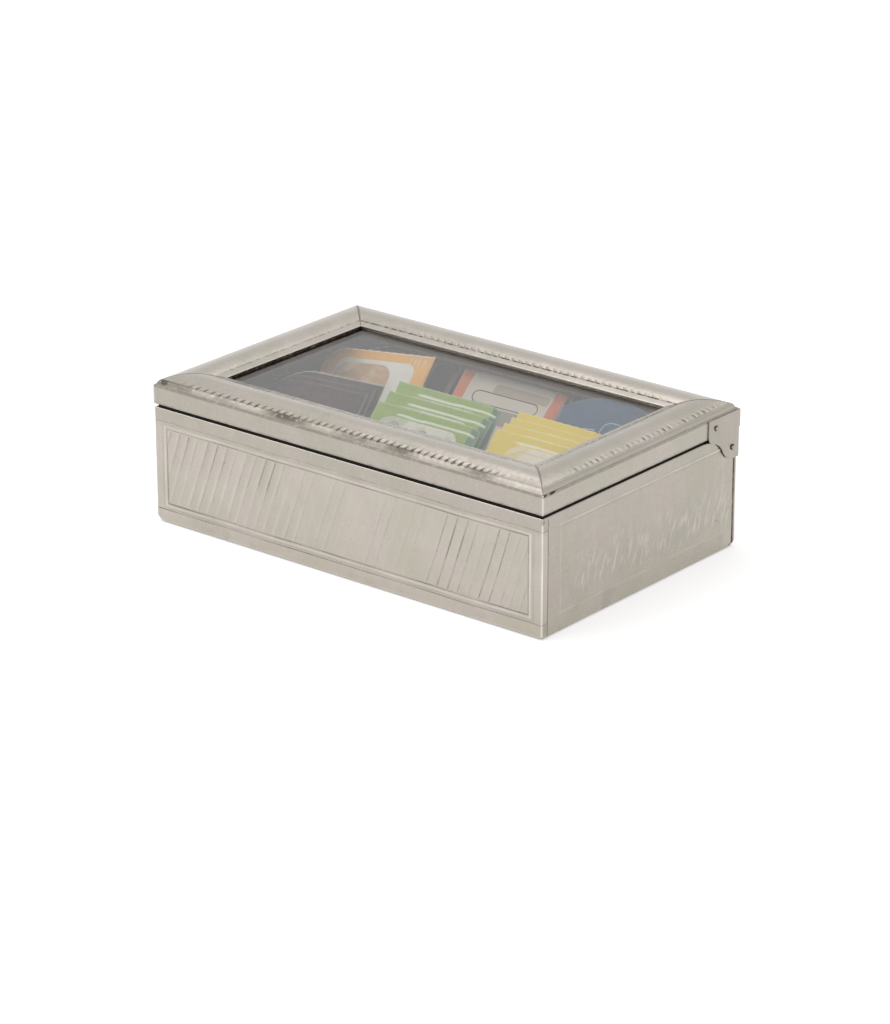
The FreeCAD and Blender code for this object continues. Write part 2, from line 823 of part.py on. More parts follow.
def rail_shade(name, sign):
    """The space that a closed lid's side rail takes, with a slope under it that the paper droops along."""
    body = labelled("PartDesign::Body", f"rail_shade_{name}")
    corners = [
        (lip_x - s.droop_in, glass_bottom),
        (rebate_x - s.gap, lid_bottom - s.gap),
        (inside_x, lid_bottom - s.droop_low),
        (inside_x, glass_bottom + s.droop_rise),
        (lip_x - s.droop_in, glass_bottom + s.droop_rise),
    ]
    outline = [(x * sign, z) for x, z in corners]
    extrude(body, "XZ_Plane", [outline], s.depth)
    return body


def make_sachets():
    shades = {-1: rail_shade("left", -1), 1: rail_shade("right", 1)}
    shaded = {"plum": -1, "orange": -1, "brown": -1, "yellow": 1, "blue": 1}
    outer_column = cross_place + s.divider / 2 + s.fit + sachet_width / 2
    inner_column = -cross_place + s.divider / 2 + s.fit + sachet_width / 2
    columns = {
        "plum": -outer_column,
        "green": inner_column,
        "yellow": outer_column,
        "orange": -lined_x + s.gap + sachet_width / 2,
        "brown": -outer_column,
        "white": as_size(0),
        "blue": outer_column,
    }
    row = lined_y - s.divider / 2
    lean_y = -s.divider / 2 - s.lean_gap
    for colour, shares in FRONT_STACK_SHARES.items():
        stack = []
        for index, (foot_share, lean_share, top_share) in enumerate(shares, start=1):
            foot_y = -lined_y + row * foot_share
            point_y = lean_y - row * lean_share
            top_z = floor_top + (glass_bottom - floor_top) * top_share
            reach = (point_y - foot_y) * (top_z - floor_top) / s.divider_height
            stack.append(make_sachet(f"{colour}_{index}", columns[colour], foot_y, foot_y + reach, top_z))
        node(settle(colour, stack, shades.get(shaded.get(colour))))
    for colour, shares in BACK_STACK_SHARES.items():
        stack = []
        for index, (foot_share, top_share, height_share, under_glass) in enumerate(shares, start=1):
            foot_y = s.divider / 2 + row * foot_share
            ceiling = glass_bottom if under_glass else lid_bottom
            top_y = s.divider / 2 + row * top_share
            top_z = floor_top + (ceiling - floor_top) * height_share
            stack.append(make_sachet(f"{colour}_{index}", columns[colour], foot_y, top_y, top_z))
        node(settle(colour, stack, shades.get(shaded.get(colour))))


def write_parts():
    """Checks every object and writes one file for each node."""
    doc.recompute()
    for item in doc.Objects:
        if {"Invalid", "Error"} & set(item.State):
            raise RuntimeError(f"{item.Label} failed: {item.State}")
    os.makedirs("parts", exist_ok=True)
    for part in nodes:
        shape = part.Shape
        if shape.isNull() or not shape.isValid() or not shape.Solids:
            raise RuntimeError(f"{part.Label} has no sound shape")
        shape.exportStep(f"parts/{part.Label}.step")
        box = shape.BoundBox
        print(f"{part.Label:22s} solids {len(shape.Solids)} volume {shape.Volume:10.1f}"
              f" x {box.XMin:.2f} {box.XMax:.2f} y {box.YMin:.2f} {box.YMax:.2f} z {box.ZMin:.2f} {box.ZMax:.2f}")


corner_tools = corner_knocks()
make_carcass(corner_tools)
make_linings()
make_dividers()
for side_name in SIDES:
    node(cut(f"cladding_{side_name}", make_cladding(side_name), *corner_tools))
for side_name in SIDES:
    node(make_rail(side_name))
    node(make_moulding(side_name))
    node(make_strip(side_name))
make_glazing()
node(make_ear("left", -1))
node(make_ear("right", 1))
make_pins()
make_sachets()
write_parts()
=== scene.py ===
import math
from typing import NamedTuple

import bmesh
import bpy
from mathutils import Matrix, Vector, noise


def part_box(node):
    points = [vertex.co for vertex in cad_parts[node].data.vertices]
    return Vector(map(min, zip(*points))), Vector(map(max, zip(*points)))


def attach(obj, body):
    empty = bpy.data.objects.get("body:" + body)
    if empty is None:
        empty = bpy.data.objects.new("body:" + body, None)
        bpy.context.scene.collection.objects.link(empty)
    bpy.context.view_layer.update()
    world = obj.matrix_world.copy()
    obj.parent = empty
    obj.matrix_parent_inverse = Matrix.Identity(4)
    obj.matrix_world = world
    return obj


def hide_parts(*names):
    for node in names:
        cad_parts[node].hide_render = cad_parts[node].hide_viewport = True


# A tea bag box clad in pressed nickel, with a hinged glazed lid over six compartments.
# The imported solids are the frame: every sheet, moulding and sachet here is fitted to their boxes.

bl_info = {
    "name": "Pressed Metal Tea Box",
    "version": (1, 0, 0),
    "blender": (4, 5, 0),
    "location": "View3D > Sidebar > Tea Box",
    "description": "Dresses a tea bag box in pressed nickel, with a glazed lid, felt and paper sachets",
    "category": "Object",
}

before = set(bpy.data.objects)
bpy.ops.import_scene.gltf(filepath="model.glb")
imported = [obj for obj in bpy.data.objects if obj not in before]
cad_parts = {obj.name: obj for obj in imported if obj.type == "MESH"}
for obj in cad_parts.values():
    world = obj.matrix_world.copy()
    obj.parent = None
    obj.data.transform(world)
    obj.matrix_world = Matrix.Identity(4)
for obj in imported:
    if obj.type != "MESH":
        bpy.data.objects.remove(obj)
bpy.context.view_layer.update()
MM = 0.001


def corners(node):
    """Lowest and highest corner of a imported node, in millimetres."""
    low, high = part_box(node)
    return Vector(low) / MM, Vector(high) / MM


# Sizes in millimetres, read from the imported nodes
FRONT_LOW, FRONT_HIGH = corners("cladding_front")
BACK_LOW, BACK_HIGH = corners("cladding_back")
SIDE_HIGH = corners("cladding_right")[1]
STRIP_LOW, STRIP_HIGH = corners("lid_strip_front")
MOULD_HIGH = corners("moulding_front")[1]
GLASS_LOW, GLASS_HIGH = corners("glass_pane")

# The lid's outer faces and the inner edge of its metal lip
LID_X = corners("lid_strip_right")[1].x
LID_Y = -STRIP_LOW.y
LIP_X = corners("moulding_right")[0].x
LIP_Y = -MOULD_HIGH.y

# The box's outer faces under the relief, its laps, rim and foot
LAP_X = FRONT_HIGH.x
RELIEF = SIDE_HIGH.x - LAP_X + 0.2
SIDE_X = SIDE_HIGH.x - RELIEF
FACE_Y = -FRONT_LOW.y - RELIEF
RIM_Z = FRONT_HIGH.z
RIM_RETURN = BACK_HIGH.y - BACK_LOW.y
FOOT_Z = FRONT_LOW.z

# Millimetres of paper for one unit of a print map
PRINT_SCALE = 100.0


def length_property(name, description, default, low=0.0):
    """A length as a property, in metres."""
    return bpy.props.FloatProperty(
        name=name, description=description, default=default, min=low, unit="LENGTH", subtype="DISTANCE")


def colour_property(name, description, default):
    """A colour as a property."""
    return bpy.props.FloatVectorProperty(
        name=name, description=description, default=default, size=3, min=0.0, max=1.0, subtype="COLOR")


def paper_colour(label, default):
    """One paper's ground colour as a property."""
    return colour_property(label, f"Ground colour of the {label.lower()} sachets", default)


class TeaBoxShape(bpy.types.PropertyGroup):
    """Sizes of the pressed relief."""

    mesh_step: length_property("Sheet Step", "Distance between the points of a pressed sheet", 0.0006, 0.0003)
    flute_pitch: length_property("Flute Pitch", "Distance from one slanted flute to the next", 0.0062, 0.002)
    flute_lean: bpy.props.FloatProperty(
        name="Flute Lean", description="Angle of the flutes from upright",
        default=math.radians(19.5), subtype="ANGLE", unit="ROTATION")
    gadroon_pitch: length_property(
        "Gadroon Pitch", "Distance between the comma marks along the front moulding", 0.0041, 0.002)
    dent_depth: length_property("Dent Depth", "Depth of the soft dents of handwork", 0.00009)


class TeaBoxFinish(bpy.types.PropertyGroup):
    """Colours of metal, wood and cloth."""

    nickel: colour_property("Nickel", "Colour of the polished sheet", (0.565, 0.515, 0.46))
    nickel_shade: colour_property("Nickel Shade", "Olive grey tone of the clouding", (0.53, 0.495, 0.425))
    nickel_blush: colour_property("Nickel Blush", "Pinkish tone of the clouding", (0.555, 0.495, 0.455))
    # This dark colour also paints the shade in hollows, in gaps and on the darker faces.
    patina_and_shade: colour_property("Patina", "Colour of the tarnish in the creases", (0.055, 0.047, 0.036))
    wood: colour_property("Wood", "Colour of the lid rails and boards", (0.21, 0.115, 0.055))
    felt: colour_property("Felt", "Colour of the dark felt", (0.012, 0.011, 0.0105))


class TeaBoxPapers(bpy.types.PropertyGroup):
    """Ground colours of the paper sachets."""

    plum: paper_colour("Plum", (0.052, 0.026, 0.022))
    green: paper_colour("Green", (0.25, 0.37, 0.075))
    yellow: paper_colour("Yellow", (0.74, 0.56, 0.055))
    orange: paper_colour("Orange", (0.78, 0.40, 0.09))
    brown: paper_colour("Brown", (0.13, 0.065, 0.045))
    white: paper_colour("White", (0.62, 0.56, 0.48))
    blue: paper_colour("Blue", (0.045, 0.09, 0.165))


# Mesh helpers

def soft_step(value, low, high):
    """Smooth rise from 0 at low to 1 at high."""
    share = min(max((value - low) / (high - low), 0.0), 1.0)
    return share * share * (3.0 - 2.0 * share)


def line_mark(distance, half):
    """1 on a line, falling to 0 at half its width."""
    return max(0.0, 1.0 - abs(distance) / half)


def groove(distance, half):
    """1 across the middle of a line, falling softly to 0 at half its width."""
    return soft_step(half - abs(distance), 0.0, half * 0.6)


def dome(distance, half):
    """Rounded bead across a band of this half width."""
    share = distance / half
    return math.sqrt(max(0.0, 1.0 - share * share))


def grain(x, y, seed, scale):
    """Smooth seeded noise of about -1 to 1 with features of this size."""
    return noise.noise(Vector((x / scale, y / scale, seed * 7.31)))


def steps(start, end, step):
    """Evenly spaced numbers from start to end, no further apart than step."""
    count = max(1, math.ceil(abs(end - start) / step))
    return [start + (end - start) * index / count for index in range(count + 1)]


def with_lines(numbers, lines, half):
    """The numbers with extra ones at both edges and the middle of each narrow line."""
    kept = [number for number in numbers if all(abs(number - line) > half * 1.4 for line in lines)]
    for line in lines:
        kept += [line - half, line, line + half]
    return sorted(kept)


def new_piece(name, points, faces, body, material, nodes=(), marks=None, prints=None, sharp=50.0):
    """A mesh piece from points in millimetres, riding on a body, with its wear and painted light attributes
    and print map.
    """
    mesh = bpy.data.meshes.new(name)
    mesh.from_pydata([Vector(point) * MM for point in points], [], faces)
    if marks:
        for index, label in enumerate(("patina_and_shade", "polish_and_highlight")):
            layer = mesh.attributes.new(label, "FLOAT", "POINT")
            layer.data.foreach_set("value", [min(max(mark[index], 0.0), 1.0) for mark in marks])
    if prints:
        layer = mesh.uv_layers.new(name="print")
        for loop in mesh.loops:
            layer.data[loop.index].uv = prints[loop.vertex_index]
    shape = bmesh.new()
    shape.from_mesh(mesh)
    bmesh.ops.remove_doubles(shape, verts=shape.verts, dist=1e-7)
    bmesh.ops.recalc_face_normals(shape, faces=shape.faces)
    shape.to_mesh(mesh)
    shape.free()
    mesh.polygons.foreach_set("use_smooth", [True] * len(mesh.polygons))
    mesh.set_sharp_from_angle(angle=math.radians(sharp))
    piece = bpy.data.objects.new(name, mesh)
    bpy.context.scene.collection.objects.link(piece)
    mesh.materials.append(material)
    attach(piece, body)
    if nodes:
        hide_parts(*nodes)
    return piece


def closed_sheet(columns, rows, place):
    """Points, marks and faces of a sheet whose rows close round its thickness; place(column, row)."""
    points = []
    marks = []
    for column in columns:
        for row in rows:
            point, mark = place(column, row)
            points.append(point)
            marks.append(mark)
    around = len(rows)
    faces = []
    for start in range(0, (len(columns) - 1) * around, around):
        for index in range(around):
            other = (index + 1) % around
            faces.append((start + index, start + other, start + around + other, start + around + index))
    last = (len(columns) - 1) * around
    faces.append(tuple(range(around)))
    faces.append(tuple(last + index for index in reversed(range(around))))
    return points, marks, faces


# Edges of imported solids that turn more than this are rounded
SHARP_EDGE = math.radians(35.0)


def softened(name, body, material, node, width, ringed=False):
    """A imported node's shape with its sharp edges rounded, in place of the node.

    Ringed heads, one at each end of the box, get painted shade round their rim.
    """
    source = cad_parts[node]
    mesh = source.data.copy()
    mesh.name = name
    piece = bpy.data.objects.new(name, mesh)
    bpy.context.scene.collection.objects.link(piece)
    shape = bmesh.new()
    shape.from_mesh(mesh)
    bmesh.ops.remove_doubles(shape, verts=shape.verts, dist=1e-6)
    bmesh.ops.dissolve_limit(
        shape, angle_limit=math.radians(0.5), use_dissolve_boundaries=False,
        verts=shape.verts, edges=shape.edges, delimit={"NORMAL"})
    closed = [edge for edge in shape.edges if len(edge.link_faces) == 2]
    edges = [edge for edge in closed if edge.calc_face_angle(0.0) > SHARP_EDGE]
    bmesh.ops.bevel(
        shape, geom=edges, offset=width * MM, segments=2, profile=0.5, affect="EDGES", clamp_overlap=True)
    shape.to_mesh(mesh)
    shape.free()
    mesh.materials.clear()
    mesh.materials.append(material)
    if ringed:
        sides = [[vert.co for vert in mesh.vertices if vert.co.x * end > 0.0] for end in (-1, 1)]
        middle = sum(sides[0], Vector()) / len(sides[0])
        away = [math.hypot(vert.co.y - middle.y, vert.co.z - middle.z) for vert in mesh.vertices]
        # Painted shade round the rim of each head.
        layer = mesh.attributes.new("patina_and_shade", "FLOAT", "POINT")
        layer.data.foreach_set("value", [soft_step(distance / max(away), 0.5, 0.85) for distance in away])
    mesh.polygons.foreach_set("use_smooth", [True] * len(mesh.polygons))
    mesh.set_sharp_from_angle(angle=SHARP_EDGE + math.radians(10.0))
    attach(piece, body)
    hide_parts(node)


# The hinge plates' outline lies behind and above these places
PLATE_START = 49.0
PLATE_FOOT = 44.0


def plate_edges(node):
    """Outline of a hinge plate's outer face, as pairs of (y, z) in millimetres."""
    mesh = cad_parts[node].data
    shape = bmesh.new()
    shape.from_mesh(mesh)
    far = max(abs(vert.co.x) for vert in shape.verts)
    found = []
    for edge in shape.edges:
        if any(abs(abs(vert.co.x) - far) > 1e-5 for vert in edge.verts):
            continue
        if edge.calc_face_angle(0.0) > math.radians(40.0):
            found.append(tuple((vert.co.y / MM, vert.co.z / MM) for vert in edge.verts))
    shape.free()
    return found


def near_edges(edges, y, z):
    """1 on a plate's outline, 0 at 0.55 mm away; it places the painted shadow round the hinge plates."""
    if y < PLATE_START:
        return 0.0
    best = 1.0
    for (ay, az), (by, bz) in edges:
        dy, dz = by - ay, bz - az
        square = dy * dy + dz * dz
        share = min(max(((y - ay) * dy + (z - az) * dz) / square, 0.0), 1.0) if square else 0.0
        best = min(best, math.hypot(y - ay - dy * share, z - az - dz * share) / 0.55)
        if best <= 0.0:
            break
    return 1.0 - best


# Shader helpers

def new_material(name):
    """A material with its Principled shader; returns material, tree, shader."""
    material = bpy.data.materials.new(name)
    material.use_nodes = True
    tree = material.node_tree
    shader = tree.nodes["Principled BSDF"]
    return material, tree, shader


def add(tree, kind, **settings):
    """A node with settings given by attribute name."""
    made = tree.nodes.new(kind)
    for label, value in settings.items():
        setattr(made, label, value)
    return made


def feed(tree, socket, value):
    """Links a socket to another, or sets its number or colour."""
    if isinstance(value, bpy.types.NodeSocket):
        tree.links.new(value, socket)
    elif isinstance(value, (tuple, list)) and len(value) == 3 and socket.type == "RGBA":
        socket.default_value = (*value, 1.0)
    else:
        socket.default_value = value


def maths(tree, operation, first, second=None, clamp=False):
    """A Math node's result."""
    made = add(tree, "ShaderNodeMath", operation=operation, use_clamp=clamp)
    feed(tree, made.inputs[0], first)
    if second is not None:
        feed(tree, made.inputs[1], second)
    return made.outputs[0]


def times(tree, first, second):
    """Two values multiplied."""
    return maths(tree, "MULTIPLY", first, second)


def plus(tree, first, second):
    """Two values added."""
    return maths(tree, "ADD", first, second)


def blend_colour(tree, share, first, second):
    """A colour between two, by a share."""
    made = add(tree, "ShaderNodeMix", data_type="RGBA", blend_type="MIX", clamp_factor=True)
    feed(tree, made.inputs[0], share)
    feed(tree, made.inputs[6], first)
    feed(tree, made.inputs[7], second)
    return made.outputs[2]


def spread(tree, value, low, high, new_low=0.0, new_high=1.0, smooth=True):
    """A value moved from one range to another."""
    made = add(tree, "ShaderNodeMapRange", interpolation_type="SMOOTHSTEP" if smooth else "LINEAR")
    feed(tree, made.inputs["Value"], value)
    made.inputs["From Min"].default_value = low
    made.inputs["From Max"].default_value = high
    made.inputs["To Min"].default_value = new_low
    made.inputs["To Max"].default_value = new_high
    return made.outputs["Result"]


def cloud(tree, vector, scale, detail=3.0, rough=0.5, stretch=None, warp=0.0):
    """Noise with features per metre, stretched along the axes when asked."""
    if stretch:
        mapping = add(tree, "ShaderNodeMapping")
        feed(tree, mapping.inputs["Vector"], vector)
        mapping.inputs["Scale"].default_value = stretch
        vector = mapping.outputs[0]
    made = add(tree, "ShaderNodeTexNoise")
    feed(tree, made.inputs["Vector"], vector)
    made.inputs["Scale"].default_value = scale
    made.inputs["Detail"].default_value = detail
    made.inputs["Roughness"].default_value = rough
    made.inputs["Distortion"].default_value = warp
    return made.outputs["Fac"]


def new_group(name, inputs, outputs):
    """A shader node group with named sockets; returns group, input node, output node."""
    group = bpy.data.node_groups.new(name, "ShaderNodeTree")
    for label, kind, value in inputs:
        socket = group.interface.new_socket(name=label, in_out="INPUT", socket_type=kind)
        if value is not None:
            socket.default_value = (*value, 1.0) if kind == "NodeSocketColor" else value
    for label, kind in outputs:
        group.interface.new_socket(name=label, in_out="OUTPUT", socket_type=kind)
    return group, group.nodes.new("NodeGroupInput"), group.nodes.new("NodeGroupOutput")


def place_group(tree, name, **values):
    """A group node in a material, with its inputs set or linked by name."""
    made = add(tree, "ShaderNodeGroup", node_tree=bpy.data.node_groups[name])
    for label, value in values.items():
        feed(tree, made.inputs[label.replace("_", " ")], value)
    return made


def scaled(tree, value, share):
    """A colour or a place scaled by a value."""
    made = add(tree, "ShaderNodeVectorMath", operation="SCALE")
    feed(tree, made.inputs[0], value)
    feed(tree, made.inputs["Scale"], share)
    return made.outputs[0]


def object_place(tree):
    """The point's place on the object, in metres."""
    return add(tree, "ShaderNodeTexCoord").outputs["Object"]


def sheet_mark(tree, label):
    """A wear attribute of the mesh."""
    return add(tree, "ShaderNodeAttribute", attribute_name=label).outputs["Fac"]


def bump(tree, height, strength, distance):
    """A normal bent by a height."""
    made = add(tree, "ShaderNodeBump")
    made.inputs["Strength"].default_value = strength
    made.inputs["Distance"].default_value = distance
    feed(tree, made.inputs["Height"], height)
    return made.outputs["Normal"]


COLOUR = "NodeSocketColor"
NUMBER = "NodeSocketFloat"
VECTOR = "NodeSocketVector"


def make_nickel_group():
    """Clouding, specks, patina with painted shade, and polish with painted highlights, of worn nickel sheet.
    """
    group, source, result = new_group(
        "Worn Nickel",
        [("Place", VECTOR, None), ("Base", COLOUR, (0.6, 0.6, 0.6)), ("Shade", COLOUR, (0.5, 0.5, 0.5)),
         ("Blush", COLOUR, (0.6, 0.5, 0.5)), ("Tarnish", COLOUR, (0.05, 0.05, 0.05)),
         ("Patina", NUMBER, 0.0), ("Polish", NUMBER, 0.0), ("Gloss", NUMBER, 0.35)],
        [("Color", COLOUR), ("Roughness", NUMBER), ("Height", NUMBER)])
    given = source.outputs
    place = given["Place"]
    broad = cloud(group, place, 38.0, 4.0, 0.55)
    blotch = cloud(group, place, 120.0, 3.0, 0.6)
    fine = cloud(group, place, 480.0, 3.0, 0.6)
    streak = cloud(group, place, 260.0, 4.0, 0.65, stretch=(1.0, 1.0, 0.3))

    tone = blend_colour(group, spread(group, broad, 0.4, 0.6), given["Shade"], given["Base"])
    tone = blend_colour(group, spread(group, blotch, 0.5, 0.7, 0.0, 0.6), tone, given["Blush"])
    tone = scaled(group, tone, spread(group, streak, 0.3, 0.7, 0.98, 1.02, smooth=False))

    specks = add(group, "ShaderNodeTexVoronoi", feature="F1")
    feed(group, specks.inputs["Vector"], place)
    specks.inputs["Scale"].default_value = 85.0
    near = spread(group, specks.outputs["Distance"], 0.03, 0.055, 1.0, 0.0)
    rare = spread(group, blotch, 0.56, 0.62)
    speck = times(group, times(group, near, rare), 0.75)
    dark = maths(group, "MAXIMUM", given["Patina"], speck, clamp=True)
    dark = times(group, dark, spread(group, fine, 0.2, 0.55, 0.55, 1.0))
    # Patina and painted shade darken the colour; polish and painted highlights lighten it to near white.
    tone = blend_colour(group, dark, tone, given["Tarnish"])
    tone = blend_colour(group, times(group, given["Polish"], 0.85), tone, (0.93, 0.9, 0.85))

    uneven = spread(group, blotch, 0.3, 0.7, -0.03, 0.04, smooth=False)
    rough = plus(group, plus(group, given["Gloss"], uneven), times(group, dark, 0.25))
    rough = maths(group, "SUBTRACT", rough, times(group, given["Polish"], 0.15), clamp=True)
    height = plus(group, broad, times(group, blotch, 0.2))
    height = plus(group, height, times(group, fine, 0.015))
    feed(group, result.inputs["Color"], tone)
    feed(group, result.inputs["Roughness"], rough)
    feed(group, result.inputs["Height"], height)


def make_fibre_group():
    """Short matted fibres, for felt and paper."""
    group, source, result = new_group(
        "Matted Fibres",
        [("Place", VECTOR, None), ("Base", COLOUR, (0.5, 0.5, 0.5)), ("Scale", NUMBER, 900.0),
         ("Contrast", NUMBER, 0.3)],
        [("Color", COLOUR), ("Height", NUMBER)])
    given = source.outputs
    fibre = add(group, "ShaderNodeTexNoise")
    feed(group, fibre.inputs["Vector"], given["Place"])
    feed(group, fibre.inputs["Scale"], given["Scale"])
    fibre.inputs["Detail"].default_value = 5.0
    fibre.inputs["Roughness"].default_value = 0.7
    fibre.inputs["Distortion"].default_value = 1.4
    patch = cloud(group, given["Place"], 55.0, 3.0, 0.55)
    mixed = plus(group, times(group, fibre.outputs["Fac"], 0.65), times(group, patch, 0.35))
    swing = times(group, maths(group, "SUBTRACT", mixed, 0.5), given["Contrast"])
    tone = scaled(group, given["Base"], plus(group, times(group, swing, 2.0), 1.0))
    feed(group, result.inputs["Color"], tone)
    feed(group, result.inputs["Height"], fibre.outputs["Fac"])


def make_grain_group():
    """Straight wood grain with fine pores along X."""
    group, source, result = new_group(
        "Wood Grain",
        [("Place", VECTOR, None), ("Base", COLOUR, (0.2, 0.1, 0.05)), ("Dark", COLOUR, (0.1, 0.05, 0.02))],
        [("Color", COLOUR), ("Roughness", NUMBER), ("Height", NUMBER)])
    given = source.outputs
    rings = cloud(group, given["Place"], 90.0, 4.0, 0.6, stretch=(0.12, 1.0, 1.0), warp=0.6)
    pores = cloud(group, given["Place"], 900.0, 2.0, 0.5, stretch=(0.05, 1.0, 1.0))
    pore = spread(group, pores, 0.58, 0.68)
    tone = blend_colour(group, spread(group, rings, 0.35, 0.65), given["Dark"], given["Base"])
    tone = blend_colour(group, times(group, pore, 0.6), tone, given["Dark"])
    feed(group, result.inputs["Color"], tone)
    feed(group, result.inputs["Roughness"], spread(group, rings, 0.3, 0.7, 0.62, 0.5))
    feed(group, result.inputs["Height"], maths(group, "SUBTRACT", rings, pore))


def make_panel_group():
    """A rounded rectangle printed on paper: 1 inside, 0 outside, with its outline apart."""
    group, source, result = new_group(
        "Rounded Panel",
        [("Map", VECTOR, None), ("Middle X", NUMBER, 0.0), ("Middle Y", NUMBER, 0.0),
         ("Half Width", NUMBER, 20.0), ("Half Height", NUMBER, 10.0), ("Radius", NUMBER, 4.0),
         ("Line", NUMBER, 0.5)],
        [("Fill", NUMBER), ("Outline", NUMBER)])
    given = source.outputs
    split = add(group, "ShaderNodeSeparateXYZ")
    feed(group, split.inputs[0], given["Map"])
    reach = []
    for axis, half in (("X", "Half Width"), ("Y", "Half Height")):
        across = maths(group, "SUBTRACT", split.outputs[axis], given[f"Middle {axis}"])
        inner = maths(group, "SUBTRACT", given[half], given["Radius"])
        reach.append(maths(group, "SUBTRACT", maths(group, "ABSOLUTE", across), inner))
    outside = [maths(group, "POWER", maths(group, "MAXIMUM", side, 0.0), 2.0) for side in reach]
    corner = maths(group, "SQRT", plus(group, *outside))
    inside = maths(group, "MINIMUM", maths(group, "MAXIMUM", *reach), 0.0)
    distance = maths(group, "SUBTRACT", plus(group, corner, inside), given["Radius"])
    feed(group, result.inputs["Fill"], spread(group, distance, -0.15, 0.15, 1.0, 0.0))
    half_line = times(group, given["Line"], 0.5)
    ring = maths(group, "SUBTRACT", maths(group, "ABSOLUTE", distance), half_line)
    feed(group, result.inputs["Outline"], spread(group, ring, -0.12, 0.12, 1.0, 0.0))


# Materials

def nickel(name, gloss, metal_bump=0.35, tone=1.0):
    """Worn nickel sheet; tone scales its colours."""
    finish = bpy.context.scene.tea_box_finish
    _, tree, shader = new_material(name)
    base, shade, blush = (
        tuple(channel * tone for channel in ground)
        for ground in (finish.nickel, finish.nickel_shade, finish.nickel_blush))
    edge_wear_and_highlight = place_group(
        tree, "Worn Nickel", Place=object_place(tree), Base=base, Shade=shade,
        Blush=blush, Tarnish=tuple(finish.patina_and_shade), Patina=sheet_mark(tree, "patina_and_shade"),
        Polish=sheet_mark(tree, "polish_and_highlight"), Gloss=gloss)
    shader.inputs["Metallic"].default_value = 1.0
    feed(tree, shader.inputs["Base Color"], edge_wear_and_highlight.outputs["Color"])
    feed(tree, shader.inputs["Roughness"], edge_wear_and_highlight.outputs["Roughness"])
    feed(tree, shader.inputs["Normal"], bump(tree, edge_wear_and_highlight.outputs["Height"], metal_bump, 0.0012))


def felt_material():
    """Dark matted felt."""
    _, tree, shader = new_material("dark_felt_cloth")
    finish = bpy.context.scene.tea_box_finish
    fibres = place_group(
        tree, "Matted Fibres", Place=object_place(tree), Base=tuple(finish.felt), Scale=1400.0, Contrast=0.9)
    feed(tree, shader.inputs["Base Color"], fibres.outputs["Color"])
    shader.inputs["Roughness"].default_value = 0.95
    shader.inputs["Specular IOR Level"].default_value = 0.2
    shader.inputs["Sheen Weight"].default_value = 0.15
    shader.inputs["Sheen Roughness"].default_value = 0.6
    feed(tree, shader.inputs["Normal"], bump(tree, fibres.outputs["Height"], 0.6, 0.0004))


def wood_material(name, tint):
    """Oiled wood; tint scales the wood colour."""
    _, tree, shader = new_material(name)
    base = [channel * tint for channel in bpy.context.scene.tea_box_finish.wood]
    dark = [channel * 0.45 for channel in base]
    wood = place_group(tree, "Wood Grain", Place=object_place(tree), Base=tuple(base), Dark=tuple(dark))
    feed(tree, shader.inputs["Base Color"], wood.outputs["Color"])
    feed(tree, shader.inputs["Roughness"], wood.outputs["Roughness"])
    feed(tree, shader.inputs["Normal"], bump(tree, wood.outputs["Height"], 0.3, 0.0003))


def glass_material():
    """Clear window glass that lets lamp light through to the sachets."""
    _, tree, shader = new_material("clear_pane")
    shader.inputs["Base Color"].default_value = (0.98, 0.98, 0.965, 1.0)
    shader.inputs["Metallic"].default_value = 0.0
    shader.inputs["Roughness"].default_value = 0.0
    shader.inputs["IOR"].default_value = 1.37
    shader.inputs["Transmission Weight"].default_value = 1.0
    clear = add(tree, "ShaderNodeBsdfTransparent")
    clear.inputs["Color"].default_value = (0.9, 0.9, 0.88, 1.0)
    either = add(tree, "ShaderNodeMixShader")
    ray = add(tree, "ShaderNodeLightPath")
    feed(tree, either.inputs[0], ray.outputs["Is Shadow Ray"])
    feed(tree, either.inputs[1], shader.outputs[0])
    feed(tree, either.inputs[2], clear.outputs[0])
    output = next(made for made in tree.nodes if made.type == "OUTPUT_MATERIAL")
    feed(tree, output.inputs["Surface"], either.outputs[0])


